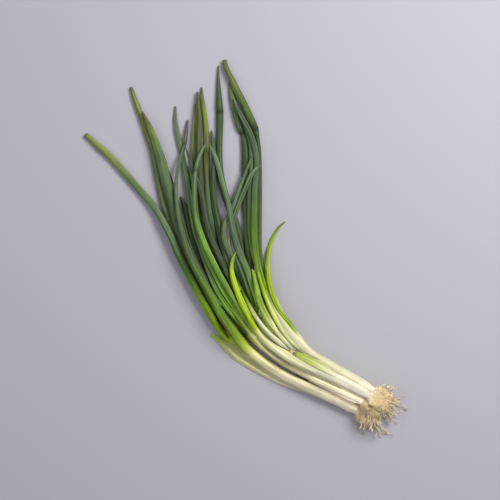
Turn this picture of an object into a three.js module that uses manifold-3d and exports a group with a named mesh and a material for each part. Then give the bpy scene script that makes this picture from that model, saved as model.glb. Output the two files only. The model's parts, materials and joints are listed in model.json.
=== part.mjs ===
// A loose bunch of six spring onions, lying on a table. Millimetres, +Z up.
//
// Each plant has a pale shank, hollow green leaves that part from the shank's flat top, and a tuft of
// roots. Every shank and leaf is a strand: a loft of flattened rings along a route on the table. The
// routes are given in plan, and settle() finds how high each strand lies over those under it.
import * as THREE from 'three';
import { mergeVertices } from 'three/addons/utils/BufferGeometryUtils.js';
import Module from 'manifold-3d';

const wasm = await Module();
wasm.setup();

const GAP = 0.3; // air between pieces that meet face to face
const CLEARANCE = 0.5; // air between strands that lie on each other
const BEND_RADIUS = 90; // tightest bend of a strand over another
const STATION_STEP = 2.5; // spacing of the points that are tested when strands settle
const LIFT_PASSES = 4; // rounds of lifting what still cuts into the strands below

const SHANK_SIDES = 12;
const LEAF_SIDES = 8;
const SHANK_FLATNESS = 0.96; // height over width
const LEAF_FLATNESS = 0.62;
const SHEATH_FLATNESS = 0.2;
const TIP_CAP = 0.4; // how far a tip's end point stands out, over the tip's width

const STRAIGHT_START = 7; // a leaf leaves the shank's top in line with the shank
const SLICE_LENGTH = 30; // over this length a leaf turns from a slice of the shank into a tube
const SLICE_CENTRE = 0.55; // a slice's centre, over the shank's radius
const PARTED = 0.6; // share of that length after which the leaves of one plant rest on each other
const START_WIDTH = 1.05; // a leaf's greatest width at its start, over the shank's radius

const PALETTE = {
  shank: { color: 0xece6c8, roughness: 0.42, metalness: 0 },
  green: { color: 0x4f7a33, roughness: 0.5, metalness: 0 },
  grey_green: { color: 0x5a7355, roughness: 0.55, metalness: 0 },
  dark_green: { color: 0x37502f, roughness: 0.55, metalness: 0 },
  lime: { color: 0xa9c61c, roughness: 0.45, metalness: 0 },
  sheath: { color: 0xb7bb72, roughness: 0.6, metalness: 0 },
  roots: { color: 0xd6b982, roughness: 0.8, metalness: 0 },
};

// Routes are lists of [x, y, width], x to the right and y down the table, towards the roots. A fourth
// number is the height over the width, where a strand is flatter than its kind.
// Strands in the order in which they come to lie: each rests on the table and on those before it.
// A shank's route runs from its top, where the leaves part, to its root end. A leaf's route runs from
// its tip to a point near its shank's top, and angle is the middle of its slice of the shank, seen from
// the roots: 0 is the right side and 90 the upper one. A strand of no plant only lies against the others.
const STRANDS = [
  { name: 'torn_sheath', finish: 'sheath', flatness: SHEATH_FLATNESS,
    route: [[211.5, 334, 1.5], [219, 339, 6], [226.6, 346.2, 10.4], [235.4, 354.2, 11.4],
    [247.6, 362.6, 10.2], [262.2, 372, 8.4], [279, 380.8, 6.8], [296.2, 387.8, 5], [312, 393.8, 3],
    [322, 398, 1.4]] },
  { name: 'shank_5', plant: 5, isShank: true, finish: 'shank',
    route: [[266.4, 310.4, 9, 0.74], [275, 320.8, 8.2, 0.86], [284, 329.5, 7.4], [292, 337.5, 7.4],
    [301, 345, 7.4], [312, 354, 7.4], [325, 364, 7.5], [338, 373, 7.6], [350, 380.5, 7.6],
    [360, 386.5, 7.6], [369, 392, 7.4]] },
  { name: 'leaf_5a', plant: 5, angle: 225, finish: 'green', route: [[201.5, 88, 2], [202, 97, 3.5],
    [203.5, 106, 4.5], [206, 125, 5], [206.5, 142, 5], [206.5, 160, 6], [207.5, 180, 6], [208.5, 203, 6],
    [211, 222, 6.5], [215, 240, 6.5], [222, 256, 6.5], [231, 270, 6.5], [241, 282, 5.5], [251.5, 294, 5]] },
  { name: 'leaf_5b', plant: 5, angle: 315, finish: 'green', route: [[218.5, 67, 3.5], [218.5, 80, 5.5],
    [219.2, 95, 6.5], [220, 112, 8], [219.8, 127, 7], [219.3, 145, 6.5], [219, 165, 8], [221, 180, 8],
    [225, 195, 8], [230, 208, 8], [235, 222, 8], [239, 236, 8], [242, 250, 8], [245.5, 264, 7],
    [250, 278, 5.5], [256.5, 292, 5]] },
  { name: 'leaf_5c', plant: 5, angle: 45, finish: 'dark_green', route: [[229.5, 77, 2.5], [232, 93, 6],
    [234, 105, 6.5], [237, 118, 7], [240.5, 129, 7], [243.5, 135, 6.5], [244.6, 143, 7], [245.5, 158, 8.5],
    [245.5, 175, 8.5], [246, 195, 8.5], [247, 215, 8.5], [248, 232, 8.5], [248.5, 248, 8], [250.5, 264, 7],
    [253.6, 279, 5.5], [258.8, 294, 4.8]] },
  { name: 'shank_4', plant: 4, isShank: true, finish: 'shank',
    route: [[262, 320, 9.4, 0.76], [270, 328, 8.4, 0.88], [277, 335, 7.8], [284, 341, 8], [291, 347, 8],
    [301, 355.5, 7.6], [312, 365, 7.6], [325, 375, 7.6], [338, 383, 7.6], [350, 390, 7.6], [362, 397, 7.6]] },
  { name: 'shank_1', plant: 1, isShank: true, finish: 'shank',
    route: [[239, 342.5, 13, 0.64], [247, 350, 11, 0.78], [261, 360.6, 9.2], [280, 373, 9], [300, 383, 9.5],
    [320, 391.5, 10], [340, 400, 10.5], [357, 409, 10.5]] },
  { name: 'shank_6', plant: 6, isShank: true, finish: 'shank',
    route: [[270.4, 299, 10.4, 0.78], [277, 312, 9.8, 0.9], [283, 322, 9.4], [289, 331, 9], [295, 339, 8.6],
    [301, 345.5, 8.2], [308, 351.5, 8], [316, 357, 8], [325, 362, 8.3], [340, 370.5, 8.5], [356, 380, 8.5],
    [372, 390, 8.5]] },
  { name: 'shank_2', plant: 2, isShank: true, finish: 'shank',
    route: [[250, 334, 10, 0.7], [263, 346, 7.6], [278, 358, 7.6], [296, 367.8, 8.4], [315, 377.4, 9],
    [335, 386.6, 9.4], [350, 394, 9.6], [362, 399.5, 9.4]] },
  { name: 'shank_3', plant: 3, isShank: true, finish: 'shank',
    route: [[258, 330.5, 11, 0.72], [268, 341, 8.6], [283, 353, 8.2], [300, 362.3, 8.4], [320, 370.6, 8.6],
    [340, 379.6, 8.6], [356, 387.6, 8.6], [368, 394, 8.4]] },
  { name: 'leaf_2c', plant: 2, angle: 270, finish: 'dark_green', route: [[181, 197, 2], [185, 207, 5.5],
    [188, 218, 6.5], [191, 230, 7], [194, 243, 7], [198, 255, 7], [202, 267, 7], [207, 280, 7], [213, 291, 7],
    [221, 303, 6.5], [231, 315, 6]] },
  { name: 'leaf_2b', plant: 2, angle: 198, finish: 'grey_green', route: [[164, 163, 2], [168, 175, 6],
    [172, 187, 6.2], [175, 198, 6.6], [178, 210, 7.2], [181, 222, 8], [185, 236, 8], [190, 250, 7],
    [197, 265, 7], [206, 281, 7], [217, 298, 6.5], [229, 313, 6]] },
  { name: 'leaf_2e', plant: 2, angle: 342, finish: 'green', route: [[195.5, 105, 2.5], [195, 120, 5],
    [194.5, 135, 5.5], [194, 150, 7], [193.5, 165, 7], [194, 182, 7], [196, 202, 7], [199, 222, 7],
    [204, 241, 7], [211, 260, 7], [219, 278, 6], [228, 295, 5.5], [238, 310, 5]] },
  { name: 'leaf_3d', plant: 3, angle: 262, finish: 'green', route: [[197.5, 92, 3.5], [198, 102, 6],
    [198.5, 115, 7], [198.5, 130, 7.5], [198.5, 145, 8], [198.5, 165, 9], [200, 185, 8.5], [203, 205, 8],
    [207, 223, 7], [212, 240, 7], [219, 257, 7], [226, 273, 6], [235, 290, 5.5], [245, 308, 5]] },
  { name: 'leaf_6a', plant: 6, angle: 290, finish: 'green', route: [[224.5, 60.5, 5], [226, 67, 5.5],
    [229, 74, 5.8], [233, 82, 6.2], [236.5, 90, 6.8], [240.5, 98, 7.3], [244.5, 106, 7.7], [248.5, 115, 8],
    [252, 122.5, 8], [255.5, 130, 6.5], [257, 138, 5], [258.5, 150, 5], [259, 165, 5.5], [259, 185, 6],
    [259, 205, 6], [258.8, 230, 6], [259, 247, 6], [261, 262, 6], [264.5, 278, 5.2]] },
  { name: 'leaf_6b', plant: 6, angle: 200, finish: 'grey_green', route: [[234, 100, 2], [238, 110, 3.5],
    [242, 119, 4], [246, 128, 4.5], [249, 138, 4.5], [251, 148, 4.5], [251.5, 160, 5.5], [251, 174, 5.5],
    [250, 192, 6], [249.8, 212, 6], [250.4, 230, 6], [252.5, 247, 6], [256, 262, 6], [261, 277, 5]] },
  { name: 'leaf_4a', plant: 4, angle: 234, finish: 'grey_green', route: [[211.5, 131, 1.5], [212.8, 142, 4],
    [214, 158, 5.5], [213.5, 175, 6], [213.5, 190, 6], [215.5, 208, 6], [218, 221, 6.5], [220, 232, 6.5],
    [222.5, 244, 6.5], [226, 257, 6.5], [230.5, 270, 6], [237.5, 284, 5.5], [246, 299, 5]] },
  { name: 'leaf_5d', plant: 5, angle: 135, finish: 'grey_green', route: [[252, 157, 1.2], [246.5, 170, 3],
    [241.5, 183, 4.5], [237, 196, 5], [232.5, 209, 5], [227, 219, 5], [224.2, 228, 5], [224.5, 238, 5],
    [227.5, 249, 5], [232, 260, 5], [238, 271, 5], [244, 283, 5], [250.4, 295.4, 4.4]] },
  { name: 'leaf_1b', plant: 1, angle: 285, finish: 'grey_green', route: [[131, 87.5, 4], [134, 97, 5.5],
    [138, 108, 6], [142, 118, 6.2], [146, 130, 6.5], [150, 142, 6.8], [153.5, 156, 7], [156.5, 170, 7],
    [159.5, 186, 7], [163.5, 203, 7], [169, 220, 7], [175, 237, 7], [182, 254, 7], [191, 272, 7],
    [201, 290, 7], [211, 306, 6.5], [221, 321, 6],
    [227, 330, 5.6]] },
  { name: 'leaf_2d', plant: 2, angle: 54, finish: 'grey_green', route: [[175.3, 107, 2], [175.5, 120, 4],
    [177, 131, 5], [180, 145, 5.2], [183.5, 161, 5.4], [186.5, 176, 5.6], [189, 192, 5.8], [190.5, 204, 6],
    [192.5, 217, 6], [195.5, 231, 6], [201, 247, 6], [206.5, 263, 6], [213, 281, 6], [223, 299, 6],
    [234, 314.5, 5]] },
  { name: 'leaf_2a', plant: 2, angle: 126, finish: 'green', route: [[143, 113, 3], [149, 126, 7],
    [154, 138, 8.5], [158, 150, 10], [162, 163, 11.5], [165, 176, 12], [168.5, 189, 12], [172, 202, 11.5],
    [175.5, 215, 11], [179, 228, 10], [184, 242, 9], [191, 257, 8], [199.5, 273, 7], [209, 289, 6],
    [220, 305, 5.5], [231, 318, 5]] },
  { name: 'leaf_1a', plant: 1, angle: 165, finish: 'green', route: [[85.5, 135, 5], [92, 140, 6],
    [100, 147.5, 6.8], [110, 156.5, 7], [126, 174, 7.2], [143, 194, 7.4], [155, 208, 7.6], [164.5, 224, 8],
    [172.5, 240, 8], [179.5, 256, 8], [187.5, 272, 8], [195.5, 287.5, 8], [204.5, 304, 8], [213.5, 319, 7.4],
    [222, 331, 6.6]] },
  { name: 'leaf_1c', plant: 1, angle: 45, finish: 'green', route: [[187.5, 121, 3], [186.6, 132, 4.4],
    [185.6, 141, 5], [184.5, 146.5, 4.6], [182.6, 153, 4.8], [179.6, 164, 5], [177.3, 176, 5],
    [176.6, 188, 5.4], [177.2, 202, 6], [179, 215, 6.6], [182, 230, 7.2], [186.5, 246, 7.8],
    [192.5, 262, 8.5], [201, 277.5, 9], [209.5, 293, 9.4], [219, 311, 9.2], [226.5, 324, 8],
    [232, 333, 7]] },
  { name: 'leaf_3a', plant: 3, angle: 190, finish: 'green', route: [[198, 236, 1.5], [203, 249, 4],
    [208.5, 261, 5], [214, 272, 5], [220, 284, 5], [227, 296, 5], [235, 307, 5], [243, 317.5, 4.5]] },
  { name: 'leaf_3c', plant: 3, angle: 334, finish: 'grey_green', route: [[186, 148, 1.2], [190, 160, 3],
    [194, 173, 4.5], [199, 185, 5], [202.6, 200, 5], [205, 214, 5.4], [208.5, 229, 6], [213, 242, 6.4],
    [218.5, 254.5, 6.4], [224.5, 267, 6], [230, 279, 5.6], [237, 293, 5.2], [246, 308, 5]] },
  { name: 'leaf_6c', plant: 6, angle: 110, finish: 'green', route: [[235.5, 105, 2.2], [239.5, 113, 4],
    [243.5, 121, 5], [248, 129, 5.2], [252, 138, 5.4], [255, 148, 5.6], [256.4, 158, 5.6], [256.2, 172, 5.6],
    [255, 187, 5.8], [254.2, 203, 6], [254, 221, 6.2], [254.5, 240, 6.4], [256, 255, 6.6], [259, 272, 6.2]] },
  { name: 'leaf_4b', plant: 4, angle: 306, finish: 'grey_green', route: [[260, 166, 1.2], [255, 170.5, 3],
    [250, 178, 4.4], [246, 187.5, 4.8], [241, 199, 5], [236.5, 211, 5], [233.2, 222, 5], [231.8, 233, 5],
    [233, 244, 5], [236.5, 256, 5], [241, 268, 5], [245.6, 280, 5], [250, 293, 4.6]] },
  { name: 'leaf_4c', plant: 4, angle: 18, finish: 'grey_green', route: [[209.5, 144, 1.5], [213, 152, 3.6],
    [216, 159, 4.4], [219, 169, 4.8], [222, 181, 5], [226.2, 194.5, 5.2], [230, 210, 5.4], [232.5, 226, 5.6],
    [236.5, 242, 6], [241.5, 256, 6], [247, 269, 6], [251.8, 284, 6], [257, 298.5, 5.6]] },
  { name: 'leaf_3b', plant: 3, angle: 118, finish: 'green', route: [[206.5, 143.5, 1.5], [202.5, 151, 3.6],
    [199, 159.5, 4.4], [196.6, 169, 5], [195.3, 180, 5.4], [195, 193, 6], [195.4, 206, 6.4], [197, 220, 6.8],
    [201.5, 235, 7], [208, 251, 7], [215.5, 266, 7], [224, 282, 6.8], [233.5, 298.5, 6.4], [243, 314, 4.4]] },
  { name: 'sheath_tip_6', plant: 6, angle: 20, finish: 'shank', route: [[267, 284, 1.2], [269, 289, 3]] },
  { name: 'young_leaf_4', plant: 4, angle: 90, finish: 'lime', route: [[254, 270, 1], [255.6, 280, 3],
    [258.4, 291, 3.6], [258.4, 301, 3.8]] },
  { name: 'sheath_tip_4', plant: 4, angle: 162, finish: 'shank', route: [[247, 300, 1.2], [250, 304.5, 3.2],
    [254.6, 310, 4]] },
  { name: 'young_leaf_3', plant: 3, angle: 46, finish: 'lime', route: [[236.5, 251.5, 1],
    [233.6, 257, 2.6], [231.9, 264, 3.6], [232, 272, 4.6], [234.5, 283, 5.6], [238.5, 294, 6],
    [243.5, 305.5, 6], [249.5, 317, 5.2]] },
  { name: 'young_leaf_6', finish: 'lime', route: [[285, 222, 1], [280.5, 225.5, 2.2], [276.5, 231, 3],
    [273, 237.5, 3.6], [270.3, 245, 4], [268.6, 254, 4.4], [268, 264, 4.6], [268.6, 274, 4.6],
    [270, 284, 4.6], [272.6, 295, 4.4], [277, 305.5, 4.2], [283, 314.5, 3.8], [289.5, 322.5, 3.2],
    [296, 330.5, 1.6]] },
  { name: 'torn_flap', finish: 'lime', flatness: SHEATH_FLATNESS, route: [[293, 352, 1.4],
    [299.5, 354.5, 4.4], [308, 358.6, 5.6], [317, 363.4, 5.2], [326, 368.6, 4], [335, 374, 1.8]] },
];

// Each plant's roots are a dense clump that runs from its root plate to this [x, y, z], and rootlets
// that stand out of it.
const ROOT_CLUMPS = {
  1: { end: [369, 424, 5], rootlets: 10 },
  2: { end: [375, 413, 11], rootlets: 9 },
  3: { end: [385, 404, 13], rootlets: 10 },
  4: { end: [379, 424, 5], rootlets: 11 },
  5: { end: [388, 411, 5], rootlets: 11 },
  6: { end: [391, 397, 8], rootlets: 12 },
};

// Long single roots that reach past the clumps, each from the clump that it begins next to.
const STRAY_ROOTS = [
  [[380, 385, 10], [385, 384, 6], [388, 388, 2]],
  [[396, 401, 8], [402, 404, 4], [408, 410, 1]],
  [[392, 411, 6], [398, 412, 3], [402, 410, 2]],
  [[391, 415, 4], [395, 419, 2], [397, 424, 1]],
  [[383, 428, 3], [387, 430, 1.6], [385, 435, 1]],
  [[379, 430, 3], [378, 434, 1.4], [382, 437, 1]],
  [[384, 430, 5], [389, 433, 1.6], [393, 434, 1]],
  [[364, 427, 4], [359, 427, 1.6], [353, 426, 1]],
  [[368, 430, 3], [364, 432, 1.6], [361, 433, 1]],
];

const ROOT_SEED = 21;
const ROOT_SIDES = 3;
const ROOT_STEPS = 4;
const ROOT_TESTS = 14; // points along a rootlet where its distance to other plants is tested
const ROOT_RADIUS = 0.42; // from its middle to its flats, where it leaves the root plate
const ROOT_TIP_RADIUS = 0.28;
const ROOT_REACH = ROOT_RADIUS / Math.cos(Math.PI / ROOT_SIDES);
const ROOT_TRIES = 80; // draws for one rootlet before it is left out
const ROOT_AIR = 0.3; // kept between rootlets of different plants
const ROOT_TOP = 16; // rootlets end no higher than this
const ROOT_SPREAD = [8, 14]; // how far from their clump's end they end
const ROOT_ELBOW = 0.45; // a rootlet bends at about this share of its way
const ROOT_WANDER = new THREE.Vector3(2.5, 2.5, 3); // how far its elbow strays from the straight way

const CLUMP_RADIUS = 6.4;
const CLUMP_LEAD = 6; // a clump leaves the shank in line with it for about this long
const CLUMP_SIDES = 10;
const CLUMP_LUMPS = 0.2; // greatest share by which a corner of a clump is pressed in
const CLUMP_PATH = 16; // points along a clump where its distance to other plants is tested
// A clump's rings: how far along it each lies, and its radius over the full one.
const CLUMP_PROFILE = [[0, 0.62], [0.1, 0.8], [0.25, 0.94], [0.45, 1], [0.65, 1], [0.85, 0.82], [1, 0.5]];
const CLUMP_CAP = 0.16; // how far its end point stands out, over the last ring's width
const KEEP_OUT = 1.06; // roots stay this many shank radii away from another plant's shank

// ---------------------------------------------------------------- strands

// Where [x, y] on the table falls in the model: y turns over, because routes count it downwards.
function onTable(x, y, z = 0) {
  return new THREE.Vector3(x, -y, z);
}

function mix(a, b, t) {
  return a + (b - a) * t;
}

// A strand's rings, from its outer end to its inner one, with the length run from the inner end.
function makeRings(route, flatness) {
  const rings = route.map(([x, y, width, heightShare = flatness]) => ({
    centre: onTable(x, y),
    halfWidth: width / 2,
    halfHeight: (width / 2) * heightShare,
    run: 0,
  }));
  for (let i = rings.length - 2; i >= 0; i -= 1) {
    rings[i].run = rings[i + 1].run + rings[i].centre.distanceTo(rings[i + 1].centre);
  }
  return rings;
}

// Points a few millimetres apart along the straight stretches between rings.
function makeStations(rings) {
  const stations = [];
  for (let i = 0; i + 1 < rings.length; i += 1) {
    const length = rings[i].run - rings[i + 1].run;
    const steps = Math.max(1, Math.ceil(length / STATION_STEP));
    const last = i + 2 === rings.length ? steps : steps - 1;
    for (let step = 0; step <= last; step += 1) {
      const share = step / steps;
      stations.push({
        ring: i,
        share,
        x: mix(rings[i].centre.x, rings[i + 1].centre.x, share),
        y: mix(rings[i].centre.y, rings[i + 1].centre.y, share),
        halfWidth: mix(rings[i].halfWidth, rings[i + 1].halfWidth, share),
        halfHeight: mix(rings[i].halfHeight, rings[i + 1].halfHeight, share),
        run: mix(rings[i].run, rings[i + 1].run, share),
      });
    }
  }
  return stations;
}

function heightAt(rings, station) {
  return mix(rings[station.ring].centre.z, rings[station.ring + 1].centre.z, station.share);
}

// The lowest that a station can lie over one strand, or the table's height if it lies clear of it.
function restingHeight(station, other) {
  let height = 0;
  for (const under of other.stations) {
    const reach = station.halfWidth + under.halfWidth + CLEARANCE;
    const apart = Math.hypot(station.x - under.x, station.y - under.y);
    if (apart < reach) {
      const rise = station.halfHeight + under.halfHeight + CLEARANCE;
      height = Math.max(height, heightAt(other.rings, under) + rise * Math.sqrt(1 - (apart / reach) ** 2));
    }
  }
  return height;
}

// Lays a strand on the table and on the strands that are already there. Two strands of one plant
// part within the slices, so they are only kept apart beyond them.
function settle(strand, laid) {
  const { rings } = strand;
  const stations = makeStations(rings);
  const needs = stations.map((station) => {
    let need = station.halfHeight;
    for (const other of laid) {
      const family = strand.plant !== undefined && other.plant === strand.plant;
      const own = family && other.isShank;
      if (!own && !(family && station.run < SLICE_LENGTH * PARTED)) {
        need = Math.max(need, restingHeight(station, other));
      }
    }
    return need;
  });
  const pinned = strand.pinned ?? 0;
  const free = rings.length - pinned;
  for (let i = 0; i < free; i += 1) {
    const ring = rings[i];
    ring.centre.z = ring.halfHeight;
    stations.forEach((station, k) => {
      const sag = (station.run - ring.run) ** 2 / (2 * BEND_RADIUS);
      ring.centre.z = Math.max(ring.centre.z, needs[k] - sag);
    });
    if (pinned > 0) {
      const start = rings[free];
      const sag = (start.run - ring.run) ** 2 / (2 * BEND_RADIUS);
      ring.centre.z = Math.max(ring.centre.z, start.centre.z - sag);
    }
  }
  for (let pass = 0; pass < LIFT_PASSES; pass += 1) {
    const lifts = rings.map(() => 0);
    stations.forEach((station, k) => {
      const lack = needs[k] - heightAt(rings, station);
      for (const i of [station.ring, station.ring + 1]) {
        const share = i === station.ring ? 1 - station.share : station.share;
        if (share >= 0.5) {
          lifts[i] = Math.max(lifts[i], lack);
        }
      }
    });
    for (let i = 0; i < free; i += 1) {
      rings[i].centre.z += lifts[i];
    }
  }
  strand.stations = stations;
  laid.push(strand);
}

// Each ring's axes: out along the strand towards its outer end, to the right of that, and up.
function frameRings(rings) {
  rings.forEach((ring, i) => {
    const outer = rings[Math.max(i - 1, 0)].centre;
    const inner = rings[Math.min(i + 1, rings.length - 1)].centre;
    ring.out ??= outer.clone().sub(inner).normalize();
    ring.right = new THREE.Vector3(ring.out.y, -ring.out.x, 0).normalize();
    ring.up = new THREE.Vector3().crossVectors(ring.right, ring.out);
  });
}

// The corner of a slice of a shank's top in one direction from the slice's centre. The slice is cut
// from a round, and stretched to the top's own width.
function sliceCorner(slice, direction) {
  const out = new THREE.Vector2(Math.cos(direction), Math.sin(direction));
  const { centre, radius, middle, halfAngle } = slice;
  const along = centre.dot(out);
  let reach = -along + Math.sqrt(along ** 2 - centre.lengthSq() + radius ** 2);
  for (const side of [-1, 1]) {
    const cut = middle + side * halfAngle;
    const inward = new THREE.Vector2(side * Math.sin(cut), -side * Math.cos(cut));
    const towards = -out.dot(inward);
    if (towards > 0) {
      reach = Math.min(reach, (centre.dot(inward) - CLEARANCE / 2) / towards);
    }
  }
  return out.multiplyScalar(reach).setX(out.x * slice.stretch);
}

// A ring's corners. Its flats touch the ellipse of its width and height.
function ringCorners(ring, sides, slice) {
  const corners = [];
  const stretch = 1 / Math.cos(Math.PI / sides);
  const blend = slice ? THREE.MathUtils.smoothstep(ring.run, 0, SLICE_LENGTH) : 1;
  for (let i = 0; i < sides; i += 1) {
    const direction = ((i + 0.5) * 2 * Math.PI) / sides;
    const corner = new THREE.Vector2(
      Math.cos(direction) * ring.halfWidth * stretch,
      Math.sin(direction) * ring.halfHeight * stretch,
    );
    if (blend < 1) {
      corner.lerp(sliceCorner(slice, direction), 1 - blend);
    }
    corners.push(ring.centre.clone()
      .addScaledVector(ring.right, corner.x)
      .addScaledVector(ring.up, corner.y));
  }
  return corners;
}

const FLOOR_SNAP = 0.25; // a corner this near the table lies on it

// A closed loft through the strand's rings, with an end point at each end.
function loft(strand) {
  const { rings, sides, slice } = strand;
  const first = rings[0];
  const last = rings[rings.length - 1];
  const points = rings.flatMap((ring) => ringCorners(ring, sides, slice));
  const outerCap = first.centre.clone().addScaledVector(first.out, first.halfWidth * 2 * strand.outerCap);
  points.push(outerCap, last.centre.clone().addScaledVector(last.out, -last.halfWidth * 2 * strand.innerCap));
  for (const point of points) {
    if (point.z < FLOOR_SNAP) {
      point.z = 0;
    }
  }
  const index = [];
  const outerEnd = points.length - 2;
  const innerEnd = points.length - 1;
  const lastRow = (rings.length - 1) * sides;
  for (let side = 0; side < sides; side += 1) {
    const next = (side + 1) % sides;
    index.push(outerEnd, next, side);
    for (let row = 0; row < lastRow; row += sides) {
      const [a, b] = [row + side, row + next];
      index.push(a, b, a + sides, b, b + sides, a + sides);
    }
    index.push(innerEnd, lastRow + side, lastRow + next);
  }
  const geometry = new THREE.BufferGeometry();
  geometry.setAttribute('position', new THREE.Float32BufferAttribute(points.flatMap((p) => p.toArray()), 3));
  geometry.setIndex(index);
  return geometry;
}

function makeShank({ name, plant, route, finish }, laid) {
  const rings = makeRings(route, SHANK_FLATNESS);
  const strand = { name, plant, isShank: true, rings, sides: SHANK_SIDES, finish, outerCap: 0, innerCap: 0 };
  settle(strand, laid);
  frameRings(rings);
  return strand;
}

// A strand that lies by itself, grown from no shank's top.
function makeLoose({ name, route, finish, flatness = LEAF_FLATNESS }, laid) {
  const rings = makeRings(route, flatness);
  const strand = { name, rings, sides: LEAF_SIDES, finish, outerCap: TIP_CAP, innerCap: TIP_CAP };
  settle(strand, laid);
  frameRings(rings);
  return strand;
}

// A leaf from its slice of the shank's top, in line with the shank at first, then along its route.
function makeLeaf({ name, plant, angle, route, finish }, laid) {
  const shank = laid.find((strand) => strand.isShank && strand.plant === plant);
  const leafCount = STRANDS.filter((strand) => strand.plant === plant && !strand.isShank).length;
  const top = shank.rings[0];
  const middle = THREE.MathUtils.degToRad(angle);
  const stretch = top.halfWidth / top.halfHeight;
  const slice = { middle, halfAngle: Math.PI / leafCount, radius: top.halfHeight, stretch };
  slice.centre = new THREE.Vector2(Math.cos(middle), Math.sin(middle))
    .multiplyScalar(SLICE_CENTRE * slice.radius);

  const width = Math.min(route[route.length - 1][2], top.halfWidth * START_WIDTH);
  const starts = [STRAIGHT_START, GAP].map((distance) => top.centre.clone()
    .addScaledVector(top.out, distance)
    .addScaledVector(top.right, slice.centre.x * stretch)
    .addScaledVector(top.up, slice.centre.y));
  const whole = [...route, ...starts.map((start) => [start.x, -start.y, width])];
  const rings = makeRings(whole, LEAF_FLATNESS);
  starts.forEach((start, i) => {
    const ring = rings[route.length + i];
    ring.centre.copy(start);
    ring.out = top.out.clone();
  });
  const strand = { name, plant, rings, sides: LEAF_SIDES, finish, slice, pinned: starts.length,
    outerCap: TIP_CAP, innerCap: 0 };
  settle(strand, laid);
  frameRings(rings);
  return strand;
}

// ---------------------------------------------------------------- roots

function seededRandom(seed) {
  let state = seed;
  return () => {
    state = (state * 1664525 + 1013904223) % 4294967296;
    return state / 4294967296;
  };
}

function toManifold(geometry) {
  geometry.deleteAttribute('normal');
  geometry.deleteAttribute('uv');
  const merged = mergeVertices(geometry, 1e-4);
  return new wasm.Manifold(new wasm.Mesh({
    numProp: 3,
    vertProperties: new Float32Array(merged.attributes.position.array),
    triVerts: new Uint32Array(merged.index.array),
  }));
}

function fromManifold(solid) {
  const mesh = solid.getMesh();
  const geometry = new THREE.BufferGeometry();
  geometry.setAttribute('position', new THREE.BufferAttribute(new Float32Array(mesh.vertProperties), 3));
  geometry.setIndex(new THREE.BufferAttribute(new Uint32Array(mesh.triVerts), 1));
  return geometry;
}

// The solid's largest shell alone, so that a hollow sealed among crossing roots is filled.
function outerShell(solid) {
  return solid.decompose().reduce((largest, piece) => (piece.volume() > largest.volume() ? piece : largest));
}

// The middle line of a clump, from a gap under its shank's end to its own end.
function clumpCurve(shank) {
  const end = shank.rings[shank.rings.length - 1];
  const start = end.centre.clone().addScaledVector(end.out, -GAP);
  const lead = start.clone().addScaledVector(end.out, -CLUMP_LEAD);
  return new THREE.QuadraticBezierCurve3(start, lead, onTable(...ROOT_CLUMPS[shank.plant].end));
}

// Balls along each shank's last stretch that other plants' roots keep out of.
function shankBalls({ plant, rings }) {
  const [before, end] = rings.slice(-2);
  return [0, 0.25, 0.5, 0.75, 1].map((share) => ({
    plant, centre: before.centre.clone().lerp(end.centre, share), radius: end.halfWidth * KEEP_OUT,
  }));
}

function nearest(point, crowd) {
  return Math.min(...crowd.map((other) => point.distanceTo(other.centre) - other.radius));
}

// A clump is as wide as its neighbours leave room for, each taking half of the way between them.
function startTuft(shank, curves, balls, random) {
  const { plant } = shank;
  const end = shank.rings[shank.rings.length - 1];
  const curve = curves.get(plant);
  const otherBalls = balls.filter((ball) => ball.plant !== plant);
  const otherPoints = [...curves].filter(([other]) => other !== plant)
    .flatMap(([, otherCurve]) => otherCurve.getPoints(CLUMP_PATH));
  const rings = CLUMP_PROFILE.map(([along, share]) => {
    const centre = curve.getPoint(along);
    const halfWay = Math.min(...otherPoints.map((point) => point.distanceTo(centre))) / 2 - GAP / 2;
    const room = Math.min(halfWay, nearest(centre, otherBalls) - GAP) * Math.cos(Math.PI / CLUMP_SIDES);
    const radius = Math.min(CLUMP_RADIUS * share, room);
    return { centre, halfWidth: radius, halfHeight: Math.min(radius, centre.z), run: 0 };
  });
  rings[0].out = end.out.clone();
  frameRings(rings);
  const geometry = loft({ rings, sides: CLUMP_SIDES, outerCap: 0, innerCap: CLUMP_CAP });
  const corners = geometry.attributes.position;
  const corner = new THREE.Vector3();
  rings.forEach((ring, row) => {
    for (let i = row * CLUMP_SIDES; i < (row + 1) * CLUMP_SIDES; i += 1) {
      corner.fromBufferAttribute(corners, i).lerp(ring.centre, row > 0 ? random() * CLUMP_LUMPS : 0);
      corners.setXYZ(i, corner.x, corner.y, corner.z);
    }
  });
  const crowd = rings.map((ring) => ({ plant, centre: ring.centre, radius: ring.halfWidth }));
  return { plant, rings, crowd, end, solid: toManifold(geometry) };
}

function makeRootlet(points) {
  const curve = new THREE.CatmullRomCurve3(points);
  const rings = curve.getPoints(ROOT_STEPS).map((centre, i) => ({
    centre,
    halfWidth: mix(ROOT_RADIUS, ROOT_TIP_RADIUS, i / ROOT_STEPS),
    halfHeight: mix(ROOT_RADIUS, ROOT_TIP_RADIUS, i / ROOT_STEPS),
    run: 0,
  }));
  rings.reverse();
  frameRings(rings);
  return { rings, sides: ROOT_SIDES, outerCap: TIP_CAP, innerCap: 0 };
}

function growRoot(tuft, points, crowd) {
  tuft.solid = tuft.solid.add(toManifold(loft(makeRootlet(points))));
  for (const centre of new THREE.CatmullRomCurve3(points).getPoints(ROOT_TESTS)) {
    crowd.push({ plant: tuft.plant, centre, radius: ROOT_REACH });
  }
}

function growStray(route, tufts, crowd) {
  const points = route.map(([x, y, z]) => onTable(x, y, z));
  const rings = tufts.flatMap((tuft) => tuft.rings.slice(2).map((ring) => ({ tuft, ring })));
  rings.sort((a, b) => a.ring.centre.distanceTo(points[0]) - b.ring.centre.distanceTo(points[0]));
  growRoot(rings[0].tuft, [rings[0].ring.centre.clone(), ...points], crowd);
}

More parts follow.
